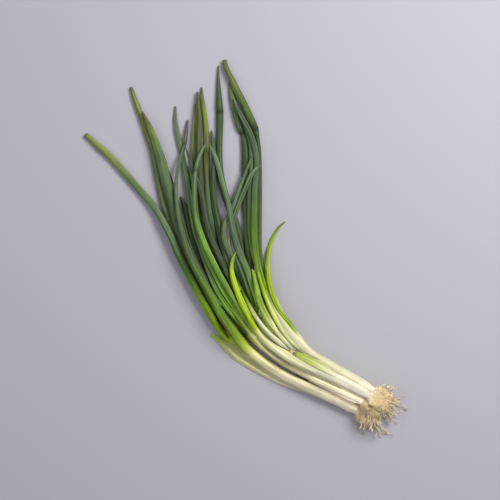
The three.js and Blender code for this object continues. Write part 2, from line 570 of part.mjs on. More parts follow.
function isClear(points, others) {
  return new THREE.CatmullRomCurve3(points).getPoints(ROOT_TESTS)
    .every((point) => point.z > ROOT_RADIUS && nearest(point, others) > ROOT_REACH + ROOT_AIR);
}

// Rootlets drawn at random, each kept only if it stays clear of the other plants.
function growRootlets(tuft, crowd, random) {
  const { end, rootlets } = ROOT_CLUMPS[tuft.plant];
  const others = crowd.filter((other) => other.plant !== tuft.plant);
  const stray = () => 2 * random() - 1;
  for (let count = 0; count < rootlets; count += 1) {
    for (let tries = 0; tries < ROOT_TRIES; tries += 1) {
      const start = tuft.rings[2 + Math.floor(random() * (tuft.rings.length - 3))].centre.clone();
      const turn = random() * 2 * Math.PI;
      const away = mix(ROOT_SPREAD[0], ROOT_SPREAD[1], random());
      const tip = onTable(end[0] + away * Math.cos(turn), end[1] + away * Math.sin(turn),
        mix(ROOT_REACH, ROOT_TOP, random()));
      const elbow = start.clone().lerp(tip, ROOT_ELBOW)
        .add(new THREE.Vector3(stray(), stray(), stray()).multiply(ROOT_WANDER));
      const points = [start, elbow, tip];
      if (isClear(points, others)) {
        growRoot(tuft, points, crowd);
        break;
      }
    }
  }
}

// ---------------------------------------------------------------- the bunch

const bunch = new THREE.Group();
const plantGroups = new Map();

function groupOf(plant) {
  if (plant === undefined) {
    return bunch;
  }
  if (!plantGroups.has(plant)) {
    const group = new THREE.Group();
    plantGroups.set(plant, group);
    bunch.add(group);
  }
  return plantGroups.get(plant);
}

// Adds a piece whose own origin is the given point of the bunch.
function addPiece(name, plant, geometry, finish, origin) {
  geometry.translate(-origin.x, -origin.y, -origin.z);
  const mesh = new THREE.Mesh(geometry, new THREE.MeshStandardMaterial(PALETTE[finish]));
  mesh.name = name;
  mesh.position.copy(origin);
  groupOf(plant).add(mesh);
}

function addStrand(strand) {
  const inner = strand.rings[strand.rings.length - 1].centre;
  addPiece(strand.name, strand.plant, loft(strand), strand.finish, inner);
}

function makeStrand(entry, laid) {
  if (entry.isShank) {
    return makeShank(entry, laid);
  }
  return entry.plant ? makeLeaf(entry, laid) : makeLoose(entry, laid);
}

const laid = [];
for (const entry of STRANDS) {
  addStrand(makeStrand(entry, laid));
}

const random = seededRandom(ROOT_SEED);
const shanks = laid.filter((strand) => strand.isShank);
const curves = new Map(shanks.map((shank) => [shank.plant, clumpCurve(shank)]));
const balls = shanks.flatMap(shankBalls);
const tufts = shanks.map((shank) => startTuft(shank, curves, balls, random));
const crowd = [...balls, ...tufts.flatMap((tuft) => tuft.crowd)];
STRAY_ROOTS.forEach((route) => growStray(route, tufts, crowd));
for (const tuft of tufts) {
  growRootlets(tuft, crowd, random);
  addPiece(`roots_${tuft.plant}`, tuft.plant, fromManifold(outerShell(tuft.solid)), 'roots', tuft.end.centre);
}

// The origin is on the table, under the middle of the bunch's box.
const box = new THREE.Box3().setFromObject(bunch);
const middle = box.getCenter(new THREE.Vector3());
bunch.position.set(-middle.x, -middle.y, -box.min.z);

export default bunch;
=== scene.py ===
"""A loose bunch of six spring onions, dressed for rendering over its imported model.

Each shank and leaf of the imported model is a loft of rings. This script finds those rings again, draws
a fine smooth tube through them, and colours it by how far along and how far round it each point lies.
The layers of sheath at the neck, the torn skin and the fibres of the roots are built here. Lengths are
in millimetres until a mesh is made.
"""

import json
import math

import bmesh
import bpy
import numpy as np
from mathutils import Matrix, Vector, noise
from mathutils.bvhtree import BVHTree


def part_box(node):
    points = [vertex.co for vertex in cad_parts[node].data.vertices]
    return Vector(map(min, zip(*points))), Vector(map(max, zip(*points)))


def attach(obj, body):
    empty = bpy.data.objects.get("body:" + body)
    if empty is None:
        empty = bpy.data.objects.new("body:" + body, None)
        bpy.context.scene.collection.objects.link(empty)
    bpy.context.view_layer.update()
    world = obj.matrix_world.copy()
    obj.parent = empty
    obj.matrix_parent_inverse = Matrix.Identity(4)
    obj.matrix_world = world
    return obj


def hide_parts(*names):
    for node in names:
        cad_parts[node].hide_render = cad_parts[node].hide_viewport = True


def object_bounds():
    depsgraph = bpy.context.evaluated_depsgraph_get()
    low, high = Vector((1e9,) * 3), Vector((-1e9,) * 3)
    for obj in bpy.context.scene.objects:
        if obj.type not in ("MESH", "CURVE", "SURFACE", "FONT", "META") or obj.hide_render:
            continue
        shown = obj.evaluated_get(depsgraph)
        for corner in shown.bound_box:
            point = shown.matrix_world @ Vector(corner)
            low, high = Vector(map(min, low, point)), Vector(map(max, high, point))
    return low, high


MM = 0.001
FULL_TURN = 2 * math.pi
PLANTS = range(1, 7)

# How far the table point [0, 0] lies left of leaf_1a, and above leaf_6a.
LEFT_OF_BUNCH = 83.916
ABOVE_BUNCH = 58.57
VIEW_CENTRE = (250.0, 250.0)  # the table point under the camera
VIEW_WIDTH = 500.0
CAMERA_HEIGHT = 1500.0
SENSOR = 36.0

# Tubes.
MERGE = 2e-6  # in metres
RING_SIDES = (8, 12)  # corners of a leaf's ring and of a shank's
LEAF_SPLIT = 4  # points drawn for each corner of a ring
SHANK_SPLIT = 3
ROW_STEP = 1.4
LOWEST = 0.02  # every point is kept between these heights
HIGHEST = 22.65
SOFT_CORNER = 0.9  # how far a leaf's ring is drawn to its corners
KEELS = 3  # corners that are drawn further out
KEEL_WEIGHT = (2.5, 6.0)
DENT_SCALE = (0.8, 0.8, 0.35)  # how finely hollows change in the grain, and how deep they are
LEAF_DENT = 0.26
SHANK_DENT = 0.07
NECK_DENT = 0.12

# A leaf's base, which is wider and runs down its shank.
BASE_WIDER = 0.3
WIDE_BASES = {"leaf_1a": 0.5, "leaf_1b": 0.6, "leaf_1c": 0.3}
BASE_REACH = 50.0
RIDGE_LENGTH = 40.0
RIDGE_SINK = 0.16  # how far it has sunk into the shank at its end
RIDGE_FADE = 18.0  # it takes the shank's colour over this length
FADE_FROM = {"young_leaf_3": 16.0}  # how far down a base keeps its own colour
WIDTHS = {"leaf_1c": 0.76, "leaf_2a": 0.9, "leaf_3b": 0.84, "torn_flap": 1.6}  # all along a leaf

# A shank, which is wider from its root plate on and has rounded ends.
SHANK_WIDER = 0.2
SHANK_WIDER_FROM = 4.0  # it is wider from here on, and in full at twice this
SHANK_TOP = ((0.8, 0.93), (1.5, 0.75), (1.9, 0.4))  # rings: how far out, and their share of the size
SHANK_HEEL = ((0.3, 0.96), (0.8, 0.84), (1.2, 0.6))

# A leaf's folds, creases and ends.
FOLD_REACH = 3.5
FOLD_PRESS = 0.35
FOLD_SHADE_WIDTH = 2.1  # how wide its line of painted shade is
FOLD_SHADE = (0.48, 0.6, 0.68)  # how much darker the painted shade along a fold is
CREASES = 2
CREASE_TURNS = (0.1, 0.4)  # a quarter turn is a strand's top
CREASE_HALF = 0.035
CREASE_WANDER = 0.03
CREASE_WAVE = 35.0
CREASE_FADE = 0.4
CREASE_FADE_WAVE = 50.0
CREASE_LIP = 0.5  # the raised line beside a crease, over its depth
CREASE_LIP_AWAY = 2.0
CREASE_DEPTH = 0.18
WAVE_STARTS = (0, 6)
POINT_RINGS = ((0.35, 0.85), (0.7, 0.55), (0.95, 0.2))  # shares of the way to the tip and of the size
CUT_RINGS = ((0, 0.78), (-1.6, 0.78), (-1.44, 0.234))  # back into the leaf, as a hollow

# Tones, as how much of a colour is added or kept: painted highlights on keels, painted shade in creases and
# low on the sides, and long bands that differ at random.
# Painted highlight along a leaf's sharp keels.
KEEL_HIGHLIGHT = (0.42, 0.38, 0.2)
# Painted shade in a crease, and a painted highlight on the raised lip beside it.
CREASE_SHADE_AND_HIGHLIGHT = (-0.52, -0.48, -0.42)
SIDE_SHADE = (0.62, 0.64, 0.6)  # painted shade: what is left low on a leaf's sides
# Painted shade low on a shank's sides.
SHANK_SIDE_SHADE = (0.8, 0.78, 0.7)
SIDE_LIT = (0.3, 1.2)  # how lit a strand is halfway up, and how fast that grows
LEAF_BANDS = 0.28  # how much the long bands differ
SHANK_BANDS = 0.18
NECK_BANDS = 0.24
BANDS = (((1.1, 1.1, 0.12), 1.5), ((3.0, 3.0, 0.3), 0.7))  # how finely they change, and their weight
LIGHT_BAND = (1.15, 1.0, 0.6)
DARK_BAND = (1.0, 0.95, 1.05)
BAND_RANGE = (0.55, 1.6)
GRAIN_LENGTH = 10.0

# Colours as seen, red, green and blue from 0 to 255.
IVORY = (247, 238, 212)
CREAM = (240, 228, 198)
WAX = (228, 223, 184)
LINEN = (208, 199, 164)
HAY = (223, 221, 164)
STRAW = (204, 199, 140)
TAN = (164, 160, 108)
CELERY = (186, 198, 92)
KHAKI = (150, 158, 82)
PEAR = (178, 200, 84)
LIME = (170, 200, 22)
FERN = (134, 164, 30)
MOSS = (112, 142, 38)
FRESH = (92, 126, 40)
GREEN = (78, 108, 46)
LEAF = (76, 98, 58)
SAGE = (82, 103, 72)
SILVER = (98, 120, 86)
DARK = (58, 78, 46)
DEEP = (42, 60, 36)
OLIVE = (104, 114, 56)
BROWN = (92, 84, 60)
DUSK = (92, 90, 88)

# Stops of colour for each strand: (distance from its inner end, colour). Negative distances count
# back from its outer end, and so does a zero after the first stop.
STRANDS = {
    "shank_1": [(22, CREAM), (50, LINEN), (80, LINEN), (112, TAN), (-1, KHAKI)],
    "shank_2": [(16, CREAM), (36, LINEN), (62, LINEN), (95, STRAW), (-14, (204, 200, 130)),
        (-1, (176, 182, 92))],
    "shank_3": [(28, IVORY), (60, WAX), (95, HAY), (118, HAY), (-1, CELERY)],
    "shank_4": [(24, CREAM), (46, LINEN), (72, HAY), (84, CREAM), (104, HAY), (-1, CELERY)],
    "shank_5": [(0, CREAM), (22, IVORY), (48, WAX), (85, WAX), (108, HAY), (-1, PEAR)],
    "shank_6": [(0, IVORY), (40, WAX), (92, WAX), (122, HAY), (-1, CELERY)],
    "leaf_1a": [(0, KHAKI), (12, (150, 180, 24)), (40, (128, 160, 28)), (62, MOSS), (88, GREEN),
        (140, SAGE), (-80, LEAF), (-40, OLIVE)],
    "leaf_1b": [(20, OLIVE), (45, GREEN), (110, (76, 92, 58)), (160, (78, 92, 60)), (-80, (82, 94, 58)),
        (-34, (88, 96, 46)), (0, (92, 98, 44))],
    "leaf_1c": [(0, OLIVE), (22, (116, 130, 34)), (45, (98, 136, 14)), (80, (84, 114, 30)), (130, SAGE),
        (-25, SILVER), (-6, DUSK)],
    "leaf_2a": [(0, KHAKI), (20, FRESH), (60, GREEN), (110, LEAF), (-85, (80, 102, 66)),
        (-45, (86, 108, 60)), (-22, (102, 118, 52)), (0, BROWN)],
    "leaf_2b": [(0, KHAKI), (20, GREEN), (50, DARK), (90, GREEN), (0, LEAF)],
    "leaf_2c": [(0, KHAKI), (20, GREEN), (45, DEEP), (0, DARK)],
    "leaf_2d": [(0, CELERY), (18, MOSS), (45, FRESH), (75, LEAF), (120, LEAF), (-36, (66, 82, 58)),
        (-6, (74, 72, 70))],
    "leaf_2e": [(0, CELERY), (20, MOSS), (55, FRESH), (110, FRESH), (150, LEAF), (-25, OLIVE), (-4, BROWN)],
    "leaf_3a": [(0, CELERY), (20, MOSS), (45, FRESH), (0, GREEN)],
    "leaf_3b": [(0, CELERY), (18, MOSS), (60, FRESH), (115, FRESH), (-45, SAGE)],
    "leaf_3c": [(0, PEAR), (24, LIME), (50, MOSS), (72, LEAF), (130, SAGE)],
    "leaf_3d": [(0, PEAR), (28, LIME), (50, SAGE), (110, LEAF), (150, LEAF), (-30, OLIVE)],
    "leaf_4a": [(0, LIME), (20, MOSS), (36, (140, 172, 74)), (55, SAGE), (110, LEAF), (-10, SAGE),
        (0, DUSK)],
    "leaf_4b": [(0, CELERY), (14, MOSS), (40, LEAF), (80, SAGE), (-30, SAGE), (0, SILVER)],
    "leaf_4c": [(0, PEAR), (18, (134, 164, 46)), (34, (124, 152, 56)), (52, (104, 130, 70)), (72, SAGE),
        (110, SAGE), (-30, SILVER)],
    "leaf_5a": [(0, PEAR), (10, MOSS), (30, LEAF), (100, DARK), (130, LEAF), (-55, (94, 104, 52)),
        (-30, (116, 130, 42)), (-8, (98, 106, 52)), (0, BROWN)],
    "leaf_5b": [(0, LIME), (10, MOSS), (35, GREEN), (100, SAGE), (150, LEAF), (-45, LEAF),
        (-16, (92, 102, 68)), (0, (104, 108, 78))],
    "leaf_5c": [(0, LIME), (20, MOSS), (45, GREEN), (100, LEAF), (-70, DARK), (-55, SAGE), (0, OLIVE)],
    "leaf_5d": [(0, PEAR), (10, MOSS), (30, LEAF), (75, LEAF), (110, SAGE), (-20, SAGE), (0, OLIVE)],
    "leaf_6a": [(0, LIME), (18, MOSS), (40, GREEN), (120, LEAF), (-74, DARK), (-60, GREEN), (-30, OLIVE)],
    "leaf_6b": [(0, PEAR), (10, (138, 174, 20)), (26, (124, 160, 18)), (44, MOSS), (62, FRESH), (95, LEAF),
        (0, SAGE)],
    "leaf_6c": [(0, PEAR), (10, (144, 180, 20)), (24, (134, 170, 18)), (44, MOSS), (75, FRESH),
        (120, SAGE)],
    "young_leaf_3": [(0, (158, 188, 10)), (30, LIME), (-20, LIME), (-8, (140, 180, 40)),
        (0, (140, 176, 60))],
    "young_leaf_4": [(0, (176, 198, 84)), (12, (156, 182, 64)), (24, (134, 164, 50)), (0, PEAR)],
    "young_leaf_6": [(0, PEAR), (30, (160, 188, 24)), (70, (160, 182, 20)), (-20, (150, 176, 20)),
        (0, OLIVE)],
    "sheath_tip_4": [(0, (176, 198, 84)), (0, (150, 176, 60))],
    "sheath_tip_6": [(0, FERN)],
    "torn_flap": [(0, IVORY), (6, CREAM), (14, HAY), (26, (204, 212, 118)), (0, (176, 194, 72))],
}

# How much brighter some strands are than their stops, or darker below one: partly their own tone, partly
# painted light that lifts strands lying in the shade of others.
TONE_AND_PAINTED_LIGHT = {
    "leaf_1a": 1.7, "leaf_1b": 2.1, "leaf_2a": 1.1, "leaf_2b": 0.6, "leaf_2c": 1.1,
    "leaf_2d": 2.1, "leaf_2e": 2.2, "leaf_3a": 2.3, "leaf_3b": 1.6, "leaf_3c": 0.6, "leaf_3d": 0.6,
    "leaf_4a": 0.9, "leaf_4b": 1.4, "leaf_4c": 1.3, "leaf_5a": 1.4, "leaf_5b": 0.8, "leaf_5c": 1.2,
    "leaf_5d": 1.4, "leaf_6b": 1.6, "young_leaf_4": 0.8, "sheath_tip_6": 2.6, "shank_1": 1.3,
    "shank_2": 1.6, "shank_3": 0.95, "shank_4": 2.0, "shank_5": 1.25,
}

# The outer ends: whether they are cut open or drawn to a point, and how far they are dried.
TIPS = {
    "leaf_1a": ("cut", 4), "leaf_1b": ("cut", 5), "leaf_3d": ("cut", 3), "leaf_6a": ("cut", 2),
    "leaf_5b": ("point", 6), "leaf_2a": ("point", 10), "leaf_2d": ("point", 2), "leaf_1c": ("point", 2),
    "leaf_4a": ("point", 2),
}
PLAIN_TIP = ("point", 5)

# Strands that narrow to their outer end: over what length, and to what share of their width.
TAPERS = {"leaf_5b": (40.0, 0.4), "leaf_3d": (30.0, 0.6), "leaf_1b": (30.0, 0.8), "leaf_2a": (18.0, 0.8),
          "torn_flap": (50.0, 0.85)}

# Folds across a leaf, as distances back from its outer end.
FOLDS = {"leaf_6a": 76.0, "leaf_5b": 46.0, "leaf_5c": 58.0, "leaf_1c": 24.0, "leaf_3b": 30.0}
LOOSE = ("young_leaf_6", "torn_flap")  # strands that don't grow out of a shank's top

# Grooves pressed into whatever lies under them, with painted shadow in them: the route over the table, as x,
# y and the half width there, how far the surface is lowered, and how much darker the painted shadow makes it.
GROOVES = [
    ([(222, 306, 0.4), (228, 314, 0.9), (236, 324, 1.3), (243, 333, 1.5)], 0.4, 0.4),
    ([(244, 334.5, 1.6), (250, 342, 2.1), (258, 350, 2.1), (268, 358, 2), (281, 367, 1.8), (296, 375, 1.4),
      (308, 380, 0.8)], 0.5, 0.72),
    ([(305, 379, 0.8), (330, 389, 0.8), (357, 401, 0.7)], 0.1, 0.15),
    ([(213, 311, 0.6), (219, 321, 1.5), (224.5, 330, 2.2), (229, 337, 1.4)], 0.26, 0.88),
    ([(252, 316, 0.8), (260, 327, 1.3), (270, 338, 1), (277, 344, 0.5)], 0.12, 0.45),
    ([(258, 296, 0.8), (263, 308, 1.1), (269, 319, 0.9), (273, 326, 0.4)], 0.12, 0.4),
    ([(256, 338, 0.8), (266, 348, 1.1), (281, 359, 1.1), (300, 369, 0.9), (340, 387, 0.7)], 0.1, 0.35),
]
GROOVE_SHADOW_WARMTH = (1.0, 1.03, 1.12)  # the painted shadow there is a little warmer
GROOVE_SHADOW_DARKEST = 0.04


# ---------------- small tools

def linear(colour):
    """A seen colour as the linear values that Blender shades with."""
    shares = np.asarray(colour, float) / 255.0
    return np.where(shares <= 0.04045, shares / 12.92, ((shares + 0.055) / 1.055) ** 2.4)


def smooth(x):
    x = np.clip(x, 0.0, 1.0)
    return x * x * (3.0 - 2.0 * x)


def blend(a, b, share):
    return a * (1 - share) + b * share


def normalised(v):
    length = np.linalg.norm(v, axis=-1, keepdims=True)
    return v / np.maximum(length, 1e-9)


def seed_of(name):
    return sum(ord(letter) * (i + 3) for i, letter in enumerate(name)) % 997


def noise_at(places):
    return np.array([noise.noise(Vector(place)) for place in places])


def smoothed(values, passes):
    for _ in range(passes):
        padded = np.pad(values, 2, mode="edge")
        values = np.convolve(padded, np.array([1, 2, 3, 2, 1]) / 9.0, mode="valid")
    return values


def spaced_route(route, step, passes):
    """A route over the table at even steps, with its corners rounded: distances, x, y and width."""
    points = np.array(route, float)
    knots = np.concatenate([[0], np.cumsum(np.hypot(np.diff(points[:, 0]), np.diff(points[:, 1])))])
    places = np.linspace(0, knots[-1], int(knots[-1] / step))
    columns = [smoothed(np.interp(places, knots, points[:, i]), passes) for i in range(3)]
    return places, columns[0], columns[1], columns[2]


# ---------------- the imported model's rings

def welded_mesh(name):
    mesh = bmesh.new()
    mesh.from_mesh(frame["nodes"][name].data)
    bmesh.ops.remove_doubles(mesh, verts=mesh.verts, dist=MERGE)
    return mesh


def layers_from(start):
    """The mesh's vertices in layers, by how many edges they lie from a start."""
    seen = {start}
    layers = [[start]]
    while layers[-1]:
        following = []
        for vertex in layers[-1]:
            for edge in vertex.link_edges:
                other = edge.other_vert(vertex)
                if other not in seen:
                    seen.add(other)
                    following.append(other)
        layers.append(following)
    return layers[:-1]


def ring_layers(mesh):
    """The rings of a lofted mesh, and the end points before and after them."""
    for vertex in mesh.verts:
        sides = len(vertex.link_edges)
        if sides in RING_SIDES:
            layers = layers_from(vertex)
            if len(layers[-1]) == 1 and all(len(layer) == sides for layer in layers[1:-1]):
                return [[np.array(v.co) / MM for v in layer] for layer in layers]
    raise RuntimeError("a packed strand has no rings")


def axes_of(centres):
    """For each centre of a strand, the ways out along it, to its right, and up."""
    ahead = np.vstack([centres[1:], centres[-1:]])
    behind = np.vstack([centres[:1], centres[:-1]])
    out = normalised(ahead - behind)
    right = normalised(np.stack([out[:, 1], -out[:, 0], np.zeros(len(out))], axis=1))
    up = np.cross(right, out)
    return out, right, up


def recover_rings(name, roots):
    """A strand's rings from its inner end outwards, as [ring, corner, xyz], and its outer end point."""
    mesh = welded_mesh(name)
    layers = ring_layers(mesh)
    mesh.free()
    if np.linalg.norm(layers[0][0] - roots) > np.linalg.norm(layers[-1][0] - roots):
        layers.reverse()
    rings = [np.array(layer) for layer in layers[1:-1]]
    centres = np.array([ring.mean(axis=0) for ring in rings])
    _, right, up = axes_of(centres)
    aligned = []
    for i, ring in enumerate(rings):
        spokes = ring - centres[i]
        turn = np.arctan2(spokes @ up[i], spokes @ right[i]) % FULL_TURN
        ring = ring[np.argsort(turn)]
        if aligned:
            before = aligned[-1] - centres[i - 1]
            shifts = [np.roll(ring, s, axis=0) for s in (-1, 0, 1)]
            misfit = [np.sum((shift - centres[i] - before) ** 2) for shift in shifts]
            ring = shifts[int(np.argmin(misfit))]
        aligned.append(ring)
    return np.array(aligned), layers[-1][0]


def keels_of(name, sides):
    """How far a leaf's ring is drawn to each corner: softly, or sharply at its keels."""
    rng = np.random.default_rng(seed_of(name))
    weights = np.full(sides, SOFT_CORNER)
    for corner in rng.choice(sides, KEELS, replace=False):
        weights[corner] = rng.uniform(*KEEL_WEIGHT)
    return weights


def rounded(rings, split, weights):
    """Closed curves inside the rings' corners that touch the middle of each side."""
    before = (np.roll(rings, 1, axis=1) + rings) / 2
    after = (np.roll(rings, -1, axis=1) + rings) / 2
    t = np.tile(np.arange(split) / split, len(weights))
    shares = np.array([(1 - t) ** 2, 2 * t * (1 - t) * np.repeat(weights, split), t * t])
    shares /= shares.sum(axis=0)
    corners = [np.repeat(points, split, axis=1) for points in (before, rings, after)]
    return sum(share[:, None] * points for share, points in zip(shares, corners))


def smooth_rows(rings):
    """Rows a step apart along a strand, on smooth curves through the same point of every ring."""
    gaps = np.linalg.norm(np.diff(rings.mean(axis=1), axis=0), axis=1)
    runs = np.concatenate([[0.0], np.cumsum(gaps)])
    numbers = np.arange(len(rings))
    a = np.maximum(numbers - 1, 0)
    b = np.minimum(numbers + 1, len(rings) - 1)
    slopes = (rings[b] - rings[a]) / (runs[b] - runs[a])[:, None, None]
    places = np.linspace(0.0, runs[-1], math.ceil(runs[-1] / ROW_STEP) + 1)
    i = np.minimum(np.searchsorted(runs, places, side="right"), len(gaps)) - 1
    gap = gaps[i][:, None, None]
    t = (places - runs[i])[:, None, None] / gap
    onward = 3 * t ** 2 - 2 * t ** 3
    rows = blend(rings[i], rings[i + 1], onward)
    rows += gap * ((t ** 3 - 2 * t ** 2 + t) * slopes[i] + (t ** 3 - t ** 2) * slopes[i + 1])
    return rows, places


# ---------------- meshes

def make_mesh(name, points, faces, tint, grain, dry, material):
    """An object from points in millimetres, with the colour, grain and dryness of each."""
    mesh = bpy.data.meshes.new(name)
    points = np.array(points, float)
    points[:, 2] = np.clip(points[:, 2], LOWEST, HIGHEST)
    mesh.from_pydata((points * MM).tolist(), [], faces)
    layer = mesh.color_attributes.new("tint", "FLOAT_COLOR", "POINT")
    layer.data.foreach_set("color", np.column_stack([tint, np.ones(len(points))]).ravel())
    layer = mesh.attributes.new("grain", "FLOAT_VECTOR", "POINT")
    layer.data.foreach_set("vector", np.asarray(grain, float).ravel())
    layer = mesh.attributes.new("dry", "FLOAT", "POINT")
    layer.data.foreach_set("value", dry)
    mesh.polygons.foreach_set("use_smooth", [True] * len(mesh.polygons))
    mesh.update()
    obj = bpy.data.objects.new(name, mesh)
    bpy.context.scene.collection.objects.link(obj)
    mesh.materials.append(material)
    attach(obj, "root")
    return obj


def tube_faces(rows, sides, offset=0):
    """The faces of a tube through rows of points, with both its ends closed."""
    faces = []
    for row in range(rows - 1):
        for side in range(sides):
            a = offset + row * sides + side
            b = offset + row * sides + (side + 1) % sides
            faces.append((a, a + sides, b + sides, b))
    last = offset + (rows - 1) * sides
    faces.append(tuple(range(offset, offset + sides)))
    faces.append(tuple(range(last + sides - 1, last - 1, -1)))
    return faces


def colours_along(stops, runs, length):
    """The colours at distances from a strand's inner end."""
    places = [length + distance if distance < 0 or (distance == 0 and i > 0) else distance
              for i, (distance, _) in enumerate(stops)]
    table = np.array([linear(colour) for _, colour in stops])
    return np.column_stack([np.interp(runs, places, table[:, c]) for c in range(3)])


def strand_colours(name, runs, length):
    return colours_along(STRANDS[name], runs, length) * TONE_AND_PAINTED_LIGHT.get(name, 1.0)


def tube_attributes(rows, runs):
    """For each point of a tube: how far along it lies, how far round, and its place in the grain."""
    sides = rows.shape[1]
    turns = np.tile(np.arange(sides) / sides, len(rows))
    along = np.repeat(runs, sides)
    angle = turns * FULL_TURN
    grain = np.column_stack([np.cos(angle), np.sin(angle), along / GRAIN_LENGTH])
    return along, turns, grain


def dent(rows, name, depth):
    """Presses long shallow hollows into a tube."""
    _, _, grain = tube_attributes(rows, np.arange(len(rows)) * ROW_STEP)
    press = depth * np.maximum(noise_at(grain * DENT_SCALE + (0, 0, seed_of(name))), 0)
    centres = rows.mean(axis=1, keepdims=True)
    return rows + (centres - rows) * press.reshape(*rows.shape[:2], 1)


def creases_at(along, turns, seed):
    """How deep in a crease each point of a strand lies, or below zero beside one."""
    rng = np.random.default_rng(seed)
    depth = np.zeros(len(along))
    for middle in rng.uniform(*CREASE_TURNS, CREASES):
        wander = CREASE_WANDER * np.sin(along / CREASE_WAVE + rng.uniform(*WAVE_STARTS))
        away = (turns - middle - wander) / CREASE_HALF
        wave = np.sin(along / CREASE_FADE_WAVE + rng.uniform(*WAVE_STARTS))
        lip = CREASE_LIP * np.exp(-(away - CREASE_LIP_AWAY) ** 2)
        depth += (np.exp(-away ** 2) - lip) * (1 - CREASE_FADE + CREASE_FADE * wave)
    return depth


def creased(rows, runs, seed):
    """Presses the creases into a tube."""
    along, turns, _ = tube_attributes(rows, runs)
    depth = creases_at(along, turns, seed).reshape(*rows.shape[:2], 1)
    centres = rows.mean(axis=1, keepdims=True)
    return centres + (rows - centres) * (1 - CREASE_DEPTH * np.maximum(depth, 0))


def banded(tint, grain, seed, tone):
    """A tint in long bands that are lighter and yellower, or darker."""
    bands = sum(weight * noise_at(grain * scale + (0, seed, 0)) for scale, weight in BANDS)[:, None]
    warmth = np.where(bands > 0, LIGHT_BAND, DARK_BAND)
    return tint * np.clip(1 + tone * bands * warmth, *BAND_RANGE)


def painted_side_shade(tint, turns, tone):
    """A tint with painted shade low on the sides, where strands lie against each other."""
    middle, rise = SIDE_LIT
    lit = smooth(middle + rise * np.sin(turns * FULL_TURN))[:, None]
    return tint * blend(tone, 1, lit)


def way_out(rows):
    """The way straight on from a tube's outer end."""
    return normalised(rows[-1].mean(axis=0) - rows[-3].mean(axis=0))


def extended(rows, runs, way, rings):
    """A tube with more rings at its outer end: how far along a way, and what share of its size."""
    centre = rows[-1].mean(axis=0)
    added = [centre + (rows[-1] - centre) * size + way * reach for reach, size in rings]
    reaches = np.linalg.norm(way) * np.array([reach for reach, _ in rings])
    return np.concatenate([rows, added]), np.concatenate([runs, runs[-1] + reaches])


def rows_round(centres, across, rises):
    """Rows of points round a route, each so far across it and so far up, as [row, point]."""
    _, right, up = axes_of(centres)
    return centres[:, None] + across[:, :, None] * right[:, None] + rises[:, :, None] * up[:, None]


def spread_along(rows, axis):
    """How far along an axis of its row each point of a tube lies from the row's centre."""
    return np.einsum("rpc,rc->rp", rows - rows.mean(axis=1, keepdims=True), axis)


def stretched_across(rows, shares):
    """A tube with each row wider across its route by a share of its width, or narrower below zero."""
    _, right, _ = axes_of(rows.mean(axis=1))
    across = spread_along(rows, right) * shares[:, None]
    return rows + across[:, :, None] * right[:, None]


def press_fold(rows, runs, place):
    """Flattens a leaf where it is folded over."""
    near = np.exp(-((runs - place) / FOLD_REACH) ** 2)[:, None]
    low = rows[:, :, 2].min(axis=1, keepdims=True)
    rows[:, :, 2] = low + (rows[:, :, 2] - low) * (1 - FOLD_PRESS * near)
    return rows


def ridge_rows(start, shank):
    """Rows that carry a leaf's base down its shank, sinking into it, from the deepest row up."""
    rows = shank["rows"]
    centres = rows.mean(axis=1)
    _, right, up = axes_of(centres)
    down = shank["runs"][-1] - shank["runs"]
    sink = 1 - RIDGE_SINK * smooth(down / RIDGE_LENGTH)
    offsets = []
    for axis in (right, up):
        half = np.abs(spread_along(rows, axis)).max(axis=1)
        offsets.append(np.outer(sink * half / half[-1], (start - centres[-1]) @ axis[-1]))
    near = (down > 0) & (down <= RIDGE_LENGTH)
    return rows_round(centres, *offsets)[near], -down[near]


def carve(points, tint):
    """Lowers what lies in the grooves and paints shadow into it."""
    points = points.copy()
    x = points[:, 0] - origin_x
    y = origin_y - points[:, 1]
    for route, depth, shadow_strength in GROOVES:
        near = np.zeros(len(points))
        for (ax, ay, a_half), (bx, by, b_half) in zip(route, route[1:]):
            share = ((x - ax) * (bx - ax) + (y - ay) * (by - ay)) / ((bx - ax) ** 2 + (by - ay) ** 2)
            share = np.clip(share, 0, 1)
            away = np.hypot(x - ax - share * (bx - ax), y - ay - share * (by - ay))
            near = np.maximum(near, np.exp(-(away / (a_half + share * (b_half - a_half))) ** 2))
        points[:, 2] *= 1 - depth * near
        # Painted shadow in the groove.
        tint = tint * np.clip(1 - shadow_strength * near[:, None] * GROOVE_SHADOW_WARMTH, GROOVE_SHADOW_DARKEST, 1)
    return points, tint


def draw_tube(name, rows, tint, grain, dry, material):
    """A tube with the grooves carved and their shadow painted into it. The plain one is kept for the sheaths
    to lie on.
    """
    points, tint = carve(rows.reshape(-1, 3), tint)
    faces = tube_faces(len(rows), rows.shape[1])
    drawn.append((rows.reshape(-1, 3), faces))
    return make_mesh(name + "_skin", points, faces, tint, grain, dry, material)


def shape_leaf(name, rings, weights):
    """A leaf's rows without its ends, and how far along it each row lies."""
    rows, runs = smooth_rows(rounded(rings, LEAF_SPLIT, weights))
    rows = dent(rows, name, LEAF_DENT)
    rows = creased(rows, runs, seed_of(name))
    if name in FOLDS:
        rows = press_fold(rows, runs, runs[-1] - FOLDS[name])
    if name in WIDTHS:
        rows = stretched_across(rows, np.full(len(rows), WIDTHS[name] - 1))
    if name in TAPERS:
        reach, share = TAPERS[name]
        rows = stretched_across(rows, (share - 1) * smooth(1 - (runs[-1] - runs) / reach))
    return rows, runs


